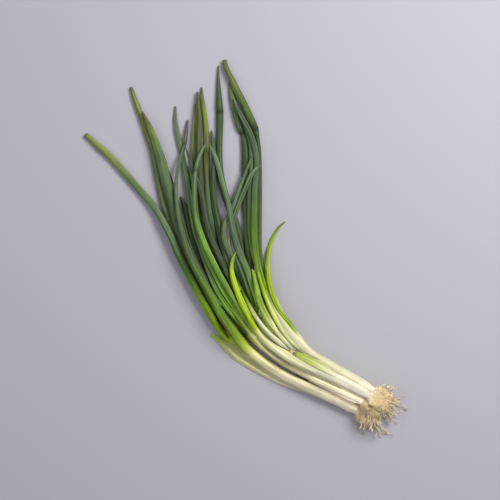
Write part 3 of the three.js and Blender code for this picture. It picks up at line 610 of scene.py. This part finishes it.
def draw_leaf(name, rings, tip, shank, material):
    seed = seed_of(name)
    weights = keels_of(name, rings.shape[1])
    rows, runs = shape_leaf(name, rings, weights)
    length = runs[-1]
    style, dry_length = TIPS.get(name, PLAIN_TIP)
    if style == "cut":
        rows, runs = extended(rows, runs, way_out(rows), CUT_RINGS)
    else:
        rows, runs = extended(rows, runs, tip - rows[-1].mean(axis=0), POINT_RINGS)
    if shank is not None:
        wider = WIDE_BASES.get(name, BASE_WIDER)
        rows = stretched_across(rows, wider * (1 - smooth(runs / BASE_REACH)))
        ridge, ridge_runs = ridge_rows(rows[0], shank)
        rows = np.concatenate([ridge, rows])
        runs = np.concatenate([ridge_runs, runs])

    along, turns, grain = tube_attributes(rows, runs)
    tint = strand_colours(name, np.maximum(along, 0), length)
    tint = banded(tint, grain, seed, LEAF_BANDS)
    # Painted shade in the creases and a painted highlight on the lips beside them.
    tint = tint * (1 + creases_at(along, turns, seed)[:, None] * CREASE_SHADE_AND_HIGHLIGHT)
    # A painted highlight along each sharp keel.
    keels = np.zeros(len(weights) * LEAF_SPLIT)
    keels[LEAF_SPLIT // 2::LEAF_SPLIT] = weights > SOFT_CORNER
    tint = tint * (1 + np.tile(keels, len(rows))[:, None] * KEEL_HIGHLIGHT)
    tint = painted_side_shade(tint, turns, SIDE_SHADE)
    # Painted shade along the fold's line.
    if name in FOLDS:
        near = np.exp(-((along - (length - FOLDS[name])) / FOLD_SHADE_WIDTH) ** 2)
        tint = tint * (1 - near[:, None] * FOLD_SHADE)
    if shank is not None:
        under = strand_colours(shank["name"], shank["length"] + np.minimum(along, 0), shank["length"])
        share = smooth((-along - FADE_FROM.get(name, 0.0)) / RIDGE_FADE)[:, None]
        tint = blend(tint, under, share)
    dry = smooth((along - (length - dry_length)) / dry_length)
    obj = draw_tube(name, rows, tint, grain + (0, 0, seed), dry, material)
    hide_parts(name)
    return obj


def shank_tube(name, rings):
    """A shank's rows from its root end to its top, which its leaves run down into."""
    rows, runs = smooth_rows(rounded(rings, SHANK_SPLIT, np.ones(rings.shape[1])))
    rows = stretched_across(rows, SHANK_WIDER * smooth((runs - SHANK_WIDER_FROM) / SHANK_WIDER_FROM))
    return {"name": name, "rows": rows, "runs": runs, "length": runs[-1]}


def draw_shank(shank, material):
    name = shank["name"]
    seed = seed_of(name)
    rows = dent(shank["rows"], name, SHANK_DENT)
    rows, runs = extended(rows, shank["runs"], way_out(rows), SHANK_TOP)
    back, back_runs = extended(rows[::-1], -runs[::-1], way_out(rows[::-1]), SHANK_HEEL)
    rows = back[::-1]
    runs = -back_runs[::-1]
    along, turns, grain = tube_attributes(rows, runs)
    tint = strand_colours(name, along, shank["length"])
    tint = banded(tint, grain, seed, SHANK_BANDS)
    tint = painted_side_shade(tint, turns, SHANK_SIDE_SHADE)
    obj = draw_tube(name, rows, tint, grain + (0, 0, seed), np.zeros(len(tint)), material)
    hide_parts(name)
    return obj


# ---------------- sheath layers at the neck

# The sheaths that wrap the upper shanks: the route of each over the table, as x, y and the width there,
# and its colours at shares of its length.
NECK_SHEATHS = {
    "neck_1": (
        [(217, 303, 2), (224.5, 315.5, 5.5), (231.5, 327, 8.6), (238.5, 338.5, 10.4), (247, 348.5, 10),
         (260.5, 359.5, 8), (279, 372, 3.6)],
        [(0, FRESH), (0.2, (100, 132, 30)), (0.36, (118, 148, 34)), (0.5, (152, 174, 58)),
         (0.6, (190, 198, 108)), (0.7, (220, 218, 158)), (1, (226, 218, 178))]),
    "neck_2": (
        [(226, 303, 2), (234.5, 312, 3.6), (243.5, 323, 4.6), (252.5, 335, 5.4), (263.5, 347, 6),
         (276.5, 357.5, 6), (292, 366, 3.4)],
        [(0, FRESH), (0.16, MOSS), (0.32, (150, 176, 60)), (0.46, (196, 204, 118)), (0.6, (222, 218, 156)),
         (1, (226, 219, 172))]),
    "neck_3": (
        [(244, 307, 1.5), (250, 319, 4.6), (256, 329, 5.8), (263, 338, 6), (273, 347, 6.4), (287, 357, 6.4),
         (304, 366, 5), (320, 373, 2.5)],
        [(0, LIME), (0.22, (176, 200, 30)), (0.26, (222, 220, 130)), (0.4, (228, 226, 172)),
         (0.6, (236, 233, 190)), (1, WAX)]),
    "neck_4": (
        [(241, 289, 2), (247, 301, 4.2), (254, 314, 5), (261, 325, 5.4), (269, 334, 5.8), (280, 342.5, 5.4),
         (291, 350, 2)],
        [(0, GREEN), (0.1, MOSS), (0.2, PEAR), (0.34, (222, 224, 160)), (0.5, (234, 234, 186)), (1, WAX)]),
    "neck_5": (
        [(252, 268, 1.5), (254.5, 279, 3.6), (256.6, 291, 5.2), (261.2, 305.4, 6.2), (267.4, 317.4, 6.2),
         (275, 328, 5.8), (284, 338.8, 5.8), (296, 350, 3.8)],
        [(0, (140, 174, 44)), (0.14, (132, 168, 38)), (0.32, (154, 186, 60)), (0.48, (194, 213, 106)),
         (0.62, (226, 232, 154)), (0.76, (238, 239, 182)), (1, (240, 239, 196))]),
    "neck_6": (
        [(257, 268, 2), (260, 280, 4), (264, 293, 4.6), (269, 305, 5), (275, 317, 5), (282, 329, 4.8),
         (291, 341, 4), (301, 350, 2)],
        [(0, (134, 166, 26)), (0.2, (154, 186, 34)), (0.42, (186, 206, 88)), (0.62, (210, 219, 134)),
         (0.8, (226, 229, 160)), (1, HAY)]),
    "neck_8": (
        [(281, 310, 1.5), (287, 319, 3), (293.5, 328, 3.8), (300, 337, 4), (306, 345, 3.4),
         (313, 351, 1.8)],
        [(0, FERN), (0.3, (150, 178, 24)), (0.45, PEAR), (0.6, IVORY)]),
    "neck_7": (
        [(265, 286, 3.4), (268.5, 296, 5.6), (273.5, 308, 7), (280, 320, 8.4), (288.5, 332, 9),
         (299, 343, 8.6), (311, 353, 6), (324, 361, 2.5)],
        [(0, (150, 176, 64)), (0.14, (190, 202, 112)), (0.3, (216, 219, 154)), (0.55, (228, 227, 178)),
         (1, WAX)]),
}
NECK_RISE = 0.17  # how high a layer's top lies over the strands, over its width
NECK_LIFTS = {"neck_1": -0.08, "neck_2": 0.14, "neck_4": 0.8, "neck_5": 0.85, "neck_6": 0.2}  # added to that
NECK_HEIGHT = 0.34  # how high its top lies over its middle
NECK_DEEPER = 1.9  # how much further it reaches down than up
NECK_SLOPE = 0.35  # the steepest that it falls along its route
NECK_STEP = 1.5
NECK_SIDES = 14
ROUTE_PASSES = 2
HEIGHT_PASSES = 4
END_SINK = 1.4  # how far its ends sink, and over what length
END_REACH = 9.0
NECK_UNDERSIDE_SHADE = (0.5, 0.5, 0.3)  # painted shade: what is left of its colour on its underside
NECK_SHADE_FADE = 2.0  # how fast the painted shade gives way to its own colour up its sides
PROBES = (-0.6, 0.0, 0.6)  # where the strands under it are felt for, over its half width
RAY_FROM = 80.0


def height_under(surface, centre, across, half):
    """The highest of three points of the drawn strands across a place."""
    heights = [0.0]
    for share in PROBES:
        spot = centre + across * half * share
        hit = surface.ray_cast(Vector((spot[0], spot[1], RAY_FROM)), Vector((0, 0, -1)))
        if hit[0] is not None:
            heights.append(hit[0].z)
    return max(heights)


def draped(heights, places):
    """Heights that hold a layer up where it would fall too steeply."""
    apart = np.abs(places[:, None] - places[None, :])
    return (heights[None, :] - NECK_SLOPE * apart).max(axis=1)


def draw_neck_sheath(name, route, stops, surface, material):
    """A layer of sheath that lies along the shanks and sinks into them at its sides."""
    places, x, y, width = spaced_route(route, NECK_STEP, ROUTE_PASSES)
    length = places[-1]
    centres = np.array([to_model(a, b) for a, b in zip(x, y)])
    _, right, _ = axes_of(centres)
    heights = np.array([height_under(surface, *spot) for spot in zip(centres, right, width / 2)])
    heights = smoothed(draped(heights, places), HEIGHT_PASSES)
    rise = NECK_RISE + NECK_LIFTS.get(name, 0.0)
    sink = END_SINK * (1 - smooth(np.minimum(places, length - places) / END_REACH))
    centres[:, 2] = heights + width * (rise - NECK_HEIGHT) - sink
    angles = np.arange(NECK_SIDES) * FULL_TURN / NECK_SIDES
    rises = NECK_HEIGHT * np.sin(angles) * np.where(np.sin(angles) < 0, NECK_DEEPER, 1.0)
    rows = rows_round(centres, np.outer(width / 2, np.cos(angles)), np.outer(width, rises))
    rows = dent(rows, name, NECK_DENT)

    along, turns, grain = tube_attributes(rows, places)
    tint = colours_along([(share * length, colour) for share, colour in stops], along, length)
    tint = banded(tint, grain, seed_of(name), NECK_BANDS)
    # Painted shade on the layer's underside and low sides, with none near its ends.
    near_end = 1 - smooth(np.minimum(along, length - along) / END_REACH)
    open_side = np.maximum(smooth(np.sin(turns * FULL_TURN) * NECK_SHADE_FADE), near_end)[:, None]
    tint = tint * blend(NECK_UNDERSIDE_SHADE, 1, open_side)
    return draw_tube(name, rows, tint, grain, np.zeros(len(tint)), material)


# ---------------- roots

# Where each plant's clump of roots ends over the table, and how thick its core is.
ROOT_ENDS = {1: (368, 424, 6.6), 2: (379, 416, 8.4), 3: (386, 410, 8.6), 4: (375, 424, 7.6), 5: (390, 408, 8),
             6: (390, 402, 7.8)}
ROOT_END_HEIGHT = 6.0
ROOT_SEED = 100
ROOT_GRAIN = 0.6
ROOT_TAN = (236, 210, 160)
ROOT_PALE = (250, 240, 216)
ROOT_BROWN = (228, 198, 146)
ROOT_PLATE = (250, 232, 206)
ROOT_PIT = (369.5, 404.5, 1.7)  # a brown hollow in the root plates: where it is, and how wide
PIT_TONE = (0.5, 0.62, 0.75)
BOX_MARGIN = 0.4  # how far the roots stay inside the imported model's box

# How finely each kind of lump changes, and its height.
ROOTLET_LUMPS = ((0.7, 1.0), (1.9, 0.6))
CORE_LUMPS = ((0.3, 1.0), (0.9, 0.5), (2.4, 0.4))
ROOTLET_PAINTED_LIGHT = 1.3  # painted light and shade: how much lighter a raised lump is, and darker a hollow
CORE_PAINTED_LIGHT = 0.6

ROOTLET_SLIMMER = 0.4
ROOTLET_ROUGH = 0.1
ROOTLET_ROUND = 0.6
ROOTLET_SHARE = 0.1  # how often a fibre grows from a rootlet, next to the core

CORE_SIDES = 30
CORE_ROWS = 20
CORE_BACK = 1.0  # how far the core begins inside the root plate
CORE_KNEE = 5.0  # how far it runs straight on from there
CORE_NARROW = 0.96  # its size at the root plate, over the plate's
CORE_SWELL = 3.0  # it has swollen at one part in this many
CORE_SMOOTH_START = 0.3  # how much of the lumps there is at its start
CORE_ROUND_FROM = 0.7
CORE_ROUND = 0.093  # the square of the share of its length that its round end takes
PLATE_TINT = 0.8  # how much of the root plate's colour it starts with
PLATE_TINT_END = 2.5  # which is gone at one part in this many

FIBRES = 1000
FIBRE_POINTS = 6
FIBRE_SIDES = 3
FIBRE_START = 0.3  # how deep under the surface a fibre starts
FIBRE_OUT = (-0.1, 0.4)  # its first way: how much of it is straight out, away from the plate, and onward
FIBRE_AWAY = 0.8
FIBRE_ONWARD = 0.3
FIBRE_CURL = 0.42
FIBRE_SAG = (0, 0, -0.05)
FIBRE_BOUNCE = 0.5
FIBRE_LENGTH = (1.0, 4.4)
FIBRE_THICK = (0.11, 0.21)
FIBRE_THIN = 0.08
FIBRE_LIGHT = (0.1, 0.95)
STRAYS = 0.07  # the share of fibres that are long and pale
STRAY_LENGTH = (7, 14)
STRAY_LIGHT = (0.9, 1.15)


def lumps_at(place, kinds):
    return sum(height * noise.noise(Vector(place * fineness)) for fineness, height in kinds)


def blend_colours(a, b, share):
    return blend(linear(a), linear(b), share)


def round_tube(path, radii, sides):
    angles = np.arange(sides) * FULL_TURN / sides
    return rows_round(path, np.outer(radii, np.cos(angles)), np.outer(radii, np.sin(angles)))


def add_point(clump, point, tint, grain_place):
    clump["points"].append(point)
    clump["tints"].append(tint)
    clump["grain"].append(grain_place * ROOT_GRAIN)


def add_rootlets(clump, name):
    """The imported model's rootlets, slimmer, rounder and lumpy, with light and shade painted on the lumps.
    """
    mesh = welded_mesh(name)
    bmesh.ops.triangulate(mesh, faces=mesh.faces)
    bmesh.ops.subdivide_edges(mesh, edges=mesh.edges, cuts=1, use_grid_fill=True, smooth=ROOTLET_ROUND)
    mesh.normal_update()
    for vertex in mesh.verts:
        place = np.array(vertex.co) / MM
        lump = lumps_at(place, ROOTLET_LUMPS)
        point = place + np.array(vertex.normal) * (ROOTLET_ROUGH * lump - ROOTLET_SLIMMER)
        # Painted light on the raised lumps and painted shade in the hollows between them.
        light = smooth(0.5 + ROOTLET_PAINTED_LIGHT * lump)
        add_point(clump, point, blend_colours(ROOT_TAN, ROOT_PALE, light), place)
    mesh.verts.index_update()
    clump["faces"].extend(tuple(v.index for v in face.verts) for face in mesh.faces)
    mesh.free()


def add_core(clump, plant, plate_ring, inward):
    """The felted core, from the root plate to the end of the clump."""
    x, y, thick = ROOT_ENDS[plant]
    end = plate_ring.mean(axis=0)
    plate = np.linalg.norm(plate_ring - end, axis=1).mean()
    start = end - inward * CORE_BACK
    knee = end + inward * CORE_KNEE
    goal = to_model(x, y, ROOT_END_HEIGHT)
    shares = np.linspace(0, 1, CORE_ROWS)
    path = np.array([(1 - s) ** 2 * start + 2 * s * (1 - s) * knee + s ** 2 * goal for s in shares])
    radii = blend(plate * CORE_NARROW, thick, smooth(shares * CORE_SWELL))
    radii *= np.sqrt(1 - np.maximum(0, shares - CORE_ROUND_FROM) ** 2 / CORE_ROUND)
    offset = len(clump["points"])
    for row, share in zip(round_tube(path, radii, CORE_SIDES), shares):
        rough = min(1.0, CORE_SMOOTH_START + share * CORE_SWELL)
        plate_share = PLATE_TINT * (1 - smooth(share * PLATE_TINT_END))
        spokes = normalised(row - row.mean(axis=0))
        for place, spoke in zip(row, spokes):
            lump = lumps_at(place, CORE_LUMPS)
            place = np.clip(place + spoke * lump * rough, box_low, box_high)
            # Painted light on the raised lumps and painted shade, browner, in the hollows.
            colour = blend_colours(ROOT_BROWN, ROOT_TAN, smooth(0.5 + CORE_PAINTED_LIGHT * lump))
            add_point(clump, place, blend(colour, linear(ROOT_PLATE), plate_share), place)
    clump["faces"].extend(tube_faces(CORE_ROWS, CORE_SIDES, offset))


def fibre_path(start, heading, length, rng):
    """A wandering path that sinks to the table."""
    points = [start]
    way = heading
    step = length / (FIBRE_POINTS - 1)
    for _ in range(FIBRE_POINTS - 1):
        way = normalised(way + rng.normal(0, FIBRE_CURL, 3) + FIBRE_SAG)
        point = points[-1] + way * step
        outside = (point < box_low) | (point > box_high)
        way = np.where(outside, -way * FIBRE_BOUNCE, way)
        points.append(np.clip(point, box_low, box_high))
    return np.array(points)


def add_fibres(clump, rootlet_faces, end, inward, rng):
    """Fine fibres, grown from all over the rootlets and the core."""
    points = clump["points"]
    corners = [np.array([points[i] for i in face]) for face in clump["faces"] if len(face) <= 4]
    centres = np.array([corner.mean(axis=0) for corner in corners])
    crosses = np.array([np.cross(c[1] - c[0], c[-1] - c[0]) for c in corners])
    areas = np.linalg.norm(crosses, axis=1)
    areas[:rootlet_faces] *= ROOTLET_SHARE
    normals = normalised(crosses)
    for i in rng.choice(len(areas), FIBRES, p=areas / areas.sum()):
        away = normalised(centres[i] - end)
        out = normals[i] * rng.uniform(*FIBRE_OUT)
        heading = normalised(out + away * FIBRE_AWAY + inward * FIBRE_ONWARD)
        stray = rng.random() < STRAYS
        length = rng.uniform(*(STRAY_LENGTH if stray else FIBRE_LENGTH))
        path = fibre_path(centres[i] - normals[i] * FIBRE_START, heading, length, rng)
        thick = FIBRE_THICK[0] if stray else rng.uniform(*FIBRE_THICK)
        rows = round_tube(path, np.linspace(thick, FIBRE_THIN, FIBRE_POINTS), FIBRE_SIDES)
        clump["faces"].extend(tube_faces(len(rows), FIBRE_SIDES, len(points)))
        light = rng.uniform(*(STRAY_LIGHT if stray else FIBRE_LIGHT))
        colour = blend_colours(ROOT_TAN, ROOT_PALE, light)
        for point in rows.reshape(-1, 3):
            add_point(clump, point, colour, point)


def draw_roots(plant, shank, material):
    """The plant's clump of roots: rootlets, a felted core, and the fibres that grow from them."""
    name = f"roots_{plant}"
    plate_ring = shank["rows"][0]
    end = plate_ring.mean(axis=0)
    inward = way_out(shank["rows"][::-1])
    rng = np.random.default_rng(ROOT_SEED + plant)
    clump = {"points": [], "tints": [], "grain": [], "faces": []}
    add_rootlets(clump, name)
    rootlet_faces = len(clump["faces"])
    add_core(clump, plant, plate_ring, inward)
    add_fibres(clump, rootlet_faces, end, inward, rng)

    points = np.array(clump["points"])
    pit_x, pit_y, pit_width = ROOT_PIT
    pit = to_model(pit_x, pit_y)[:2]
    near = np.exp(-(np.linalg.norm(points[:, :2] - pit, axis=1) / pit_width) ** 2)
    tint = np.array(clump["tints"]) * (1 - near[:, None] * PIT_TONE)
    obj = make_mesh(f"root_fibres_{plant}", points, clump["faces"], tint, clump["grain"],
                    np.zeros(len(points)), material)
    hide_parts(name)


# ---------------- torn sheath

TORN_SHEATH = [(211, 334.6, 3.4), (217.5, 338.4, 6.6), (226.6, 345.6, 11), (235.4, 354.2, 11.4),
               (247.6, 362.6, 10.2), (262.2, 372, 8.4), (279, 380.8, 6.8), (296.2, 387.8, 5),
               (312, 393.8, 3), (322, 398, 1.4)]
SHEATH_STOPS = [(0, (156, 184, 58)), (8, (178, 194, 92)), (24, (212, 214, 142)), (60, (218, 213, 154)),
                (90, CREAM)]
SHEATH_STEP = 1.2
SHEATH_COLUMNS = 19
SHEATH_THICKNESS = 0.45
SHEATH_FLOOR = 0.1  # how high its underside lies at its edges
SHEATH_RISE = 1.9  # how high it is crowned, where it is at least this wide
SHEATH_FULL_WIDTH = 8.0
SHEATH_CLIMB = 4.2  # how high its edge climbs the side of shank_1
SHEATH_REACH = 3.4  # how far that edge is drawn over it
CLIMB_FROM = 12.0  # where that begins, and over what length
CLIMB_LENGTH = 14.0
SHEATH_HALF = 0.92  # how wide it is drawn, over its route's width
SHEATH_RAGGED = 0.07
SHEATH_RIPPLE = 0.3
SHEATH_MOTTLE = 0.5
# How fast these change along it and across, and where in the noise each is taken from.
RAGGED_NOISE = (0.35, 3.0, 4.0)
RIPPLE_NOISE = (0.12, 2.5, 9.0)
MOTTLE_NOISE = (0.03, 2.2, 2.0)
SHEATH_GRAIN = 2.2


def noise_over(run, across, kind):
    change_along, change_across, depth = kind
    return noise.noise(Vector((run * change_along, across * change_across, depth)))


def draw_torn_sheath(material):
    """A dry outer skin that lies crowned on the table, ragged at its edges."""
    places, x, y, width = spaced_route(TORN_SHEATH, SHEATH_STEP, passes=1)
    centres = np.array([to_model(a, b) for a, b in zip(x, y)])
    _, right, _ = axes_of(centres)
    colours = colours_along(SHEATH_STOPS, places, places[-1])
    columns = np.linspace(-1, 1, SHEATH_COLUMNS)
    ring = [(-across, SHEATH_THICKNESS) for across in columns] + [(across, 0.0) for across in columns]
    points = []
    tints = []
    grain = []
    for i, run in enumerate(places):
        climbing = smooth((run - CLIMB_FROM) / CLIMB_LENGTH)
        crown = SHEATH_RISE * min(1.0, width[i] / SHEATH_FULL_WIDTH)
        for across, over in ring:
            ragged = SHEATH_RAGGED * noise_over(run, across, RAGGED_NOISE)
            ripple = SHEATH_RIPPLE * noise_over(run, across, RIPPLE_NOISE)
            mottle = SHEATH_MOTTLE * noise_over(run, across, MOTTLE_NOISE)
            climb = max(0.0, -across) ** 2 * climbing
            z = SHEATH_FLOOR + (crown + ripple) * (1 - across ** 2) + over + SHEATH_CLIMB * climb
            out_by = across * width[i] / 2 * (SHEATH_HALF + ragged) - climb * SHEATH_REACH
            points.append(centres[i] + right[i] * out_by + (0, 0, z))
            tints.append(colours[i] * (1 + mottle))
            grain.append((across * SHEATH_GRAIN, 0.0, run / GRAIN_LENGTH))
    obj = make_mesh("torn_sheath_skin", points, tube_faces(len(places), len(ring)), np.array(tints),
                    grain, np.zeros(len(points)), material)
    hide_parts("torn_sheath")


# ---------------- materials

BLOOM_COLOUR = (0.26, 0.33, 0.22, 1.0)
DRY_COLOUR = (0.13, 0.115, 0.06, 1.0)
FLOOR_COLOUR = (182, 180, 187)


def plant_material(name, roughness, vein_scale, vein_depth, mottle, bloom, gloss):
    """A skin whose colour comes from the mesh, with veins along it, mottling and a dry end."""
    material = bpy.data.materials.new(name)
    material.use_nodes = True
    nodes = material.node_tree.nodes
    links = material.node_tree.links
    shader = nodes["Principled BSDF"]

    def attribute(key):
        node = nodes.new("ShaderNodeAttribute")
        node.attribute_name = key
        return node

    tint = attribute("tint")
    grain = attribute("grain")
    dry = attribute("dry")

    def stretched_noise(scale, detail):
        mapping = nodes.new("ShaderNodeMapping")
        mapping.inputs["Scale"].default_value = scale
        links.new(grain.outputs["Vector"], mapping.inputs["Vector"])
        texture = nodes.new("ShaderNodeTexNoise")
        texture.inputs["Scale"].default_value = 1.0
        texture.inputs["Detail"].default_value = detail
        links.new(mapping.outputs["Vector"], texture.inputs["Vector"])
        return texture

    def ramp(source, part, low, high):
        """Values from low to high over the part of a noise that counts."""
        node = nodes.new("ShaderNodeMapRange")
        node.inputs["From Min"].default_value = part[0]
        node.inputs["From Max"].default_value = part[1]
        node.inputs["To Min"].default_value = low
        node.inputs["To Max"].default_value = high
        links.new(source.outputs["Fac"], node.inputs["Value"])
        return node.outputs["Result"]

    def mottled(source, part, darker, lighter):
        """A grey around one."""
        tone = ramp(source, part, 1 - mottle * darker, 1 + mottle * lighter)
        combine = nodes.new("ShaderNodeCombineColor")
        for channel in ("Red", "Green", "Blue"):
            links.new(tone, combine.inputs[channel])
        return combine.outputs["Color"]

    def mix(kind, a, b, factor=None):
        """A mix of one colour with another, in full where no factor is given."""
        node = nodes.new("ShaderNodeMix")
        node.data_type = "RGBA"
        node.blend_type = kind
        node.inputs["Factor"].default_value = 1.0
        if factor is not None:
            links.new(factor, node.inputs["Factor"])
        links.new(a, node.inputs["A"])
        if isinstance(b, tuple):
            node.inputs["B"].default_value = b
        else:
            links.new(b, node.inputs["B"])
        return node.outputs["Result"]

    veins = stretched_noise(scale=(vein_scale, vein_scale, 0.12), detail=3.0)
    spots = stretched_noise(scale=(0.9, 0.9, 0.7), detail=4.0)
    fine = stretched_noise(scale=(3.0, 3.0, 2.2), detail=5.0)
    vein_tone = mottled(veins, part=(0.35, 0.65), darker=1.0, lighter=0.6)
    colour = mix("MULTIPLY", tint.outputs["Color"], vein_tone)
    colour = mix("MULTIPLY", colour, mottled(spots, part=(0.3, 0.7), darker=0.8, lighter=0.5))
    colour = mix("MIX", colour, BLOOM_COLOUR, ramp(fine, part=(0.4, 0.75), low=0.0, high=bloom))
    dry_edge = nodes.new("ShaderNodeMath")
    dry_edge.operation = "MULTIPLY"
    links.new(dry.outputs["Fac"], dry_edge.inputs[0])
    links.new(ramp(veins, part=(0.3, 0.6), low=0.35, high=1.0), dry_edge.inputs[1])
    colour = mix("MIX", colour, DRY_COLOUR, dry_edge.outputs["Value"])
    links.new(colour, shader.inputs["Base Color"])

    rough = ramp(spots, part=(0.3, 0.7), low=roughness - 0.06, high=roughness + 0.08)
    links.new(rough, shader.inputs["Roughness"])
    shader.inputs["Specular IOR Level"].default_value = gloss

    bump = nodes.new("ShaderNodeBump")
    bump.inputs["Strength"].default_value = 0.6
    bump.inputs["Distance"].default_value = vein_depth * MM
    links.new(veins.outputs["Fac"], bump.inputs["Height"])
    links.new(bump.outputs["Normal"], shader.inputs["Normal"])
    return material


def floor_material():
    material = bpy.data.materials.new("pale_floor")
    material.use_nodes = True
    shader = material.node_tree.nodes["Principled BSDF"]
    shader.inputs["Base Color"].default_value = (*linear(FLOOR_COLOUR), 1.0)
    shader.inputs["Roughness"].default_value = 0.85
    return material


# ---------------- the scene

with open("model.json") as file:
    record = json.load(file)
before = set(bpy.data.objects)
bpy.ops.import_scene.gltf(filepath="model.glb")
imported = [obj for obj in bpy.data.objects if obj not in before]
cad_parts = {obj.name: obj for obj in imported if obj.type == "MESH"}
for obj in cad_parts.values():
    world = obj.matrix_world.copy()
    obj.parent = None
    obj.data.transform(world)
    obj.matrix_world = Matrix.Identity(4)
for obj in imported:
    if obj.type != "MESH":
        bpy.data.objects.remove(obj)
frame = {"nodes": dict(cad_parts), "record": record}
cad_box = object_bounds()

origin_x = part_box("leaf_1a")[0][0] / MM - LEFT_OF_BUNCH
origin_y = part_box("leaf_6a")[1][1] / MM + ABOVE_BUNCH


def to_model(x, y, z=0.0):
    """Where a point of the table lies in the model: x to the right and y down the table."""
    return np.array([origin_x + x, origin_y - y, z])


def plant_of(name):
    """The number in a strand's name."""
    return next(int(letter) for letter in name if letter.isdigit())


drawn = []  # the points and faces of every tube so far, in millimetres
roots_centre = np.mean([np.add(*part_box(f"roots_{plant}")) / 2 / MM for plant in PLANTS], axis=0)

leaf_material = plant_material("leaf_skin", roughness=0.55, vein_scale=5.0, vein_depth=0.16,
                               mottle=0.32, bloom=0.06, gloss=0.28)
lime_material = plant_material("young_leaf_skin", roughness=0.5, vein_scale=4.5, vein_depth=0.1,
                               mottle=0.14, bloom=0.0, gloss=0.3)
shank_material = plant_material("shank_skin", roughness=0.45, vein_scale=7.0, vein_depth=0.16,
                                mottle=0.16, bloom=0.0, gloss=0.32)
sheath_material = plant_material("sheath_skin", roughness=0.6, vein_scale=6.0, vein_depth=0.15,
                                 mottle=0.16, bloom=0.0, gloss=0.35)
root_material = plant_material("root_skin", roughness=0.8, vein_scale=2.0, vein_depth=0.05,
                               mottle=0.22, bloom=0.0, gloss=0.2)

shanks = {}
for plant in PLANTS:
    name = f"shank_{plant}"
    rings, _ = recover_rings(name, roots_centre)
    shanks[plant] = shank_tube(name, rings)
    piece = draw_shank(shanks[plant], shank_material)

slots = {part["node"]: part["material_slot"] for part in frame["record"]["subparts"]}
for name in STRANDS:
    if name.startswith("shank"):
        continue
    rings, tip = recover_rings(name, roots_centre)
    shank = None if name in LOOSE else shanks[plant_of(name)]
    slot = slots[name]
    material = lime_material if slot in ("lime", "shank", "sheath") else leaf_material
    piece = draw_leaf(name, rings, tip, shank, material)

draw_torn_sheath(sheath_material)

every_point = []
every_face = []
for points, faces in drawn:
    every_face.extend([tuple(index + len(every_point) for index in face) for face in faces])
    every_point.extend(points.tolist())
surface = BVHTree.FromPolygons(every_point, every_face)
for name, (route, stops) in NECK_SHEATHS.items():
    piece = draw_neck_sheath(name, route, stops, surface, shank_material)

box_low = np.array(cad_box[0]) / MM + BOX_MARGIN
box_high = np.array(cad_box[1]) / MM - BOX_MARGIN
for plant in PLANTS:
    draw_roots(plant, shanks[plant], root_material)

# Floor, light and camera.
bpy.ops.mesh.primitive_plane_add(size=6.0, location=(0, 0, -0.0002))
floor = bpy.context.object
floor.name = "floor"
floor.data.materials.append(floor_material())


def area_light(name, place, size, power, colour):
    """A square light that shines on the middle of the bunch."""
    data = bpy.data.lights.new(name, "AREA")
    data.size = size
    data.energy = power
    data.color = colour
    light = bpy.data.objects.new(name, data)
    light.location = place
    light.rotation_euler = (-Vector(place)).to_track_quat("-Z", "Y").to_euler()
    bpy.context.scene.collection.objects.link(light)


area_light("key", place=(0.7, 0.6, 0.9), size=0.6, power=15.0, colour=(1.0, 0.985, 0.96))
area_light("fill", place=(-0.7, 0.2, 1.1), size=1.2, power=3.0, colour=(0.94, 0.96, 1.0))

world = bpy.data.worlds.new("studio")
world.use_nodes = True
background = world.node_tree.nodes["Background"]
background.inputs["Color"].default_value = (0.9, 0.92, 1.0, 1.0)
background.inputs["Strength"].default_value = 0.38
bpy.context.scene.world = world
bpy.context.scene.view_settings.view_transform = "Standard"

# The camera looks straight down.
camera_data = bpy.data.cameras.new("camera")
camera_data.sensor_width = SENSOR
camera_data.lens = SENSOR * CAMERA_HEIGHT / VIEW_WIDTH
camera_data.clip_end = 10.0
camera = bpy.data.objects.new("camera", camera_data)
camera.location = Vector(to_model(*VIEW_CENTRE, CAMERA_HEIGHT)) * MM
bpy.context.scene.collection.objects.link(camera)
bpy.context.scene.camera = camera
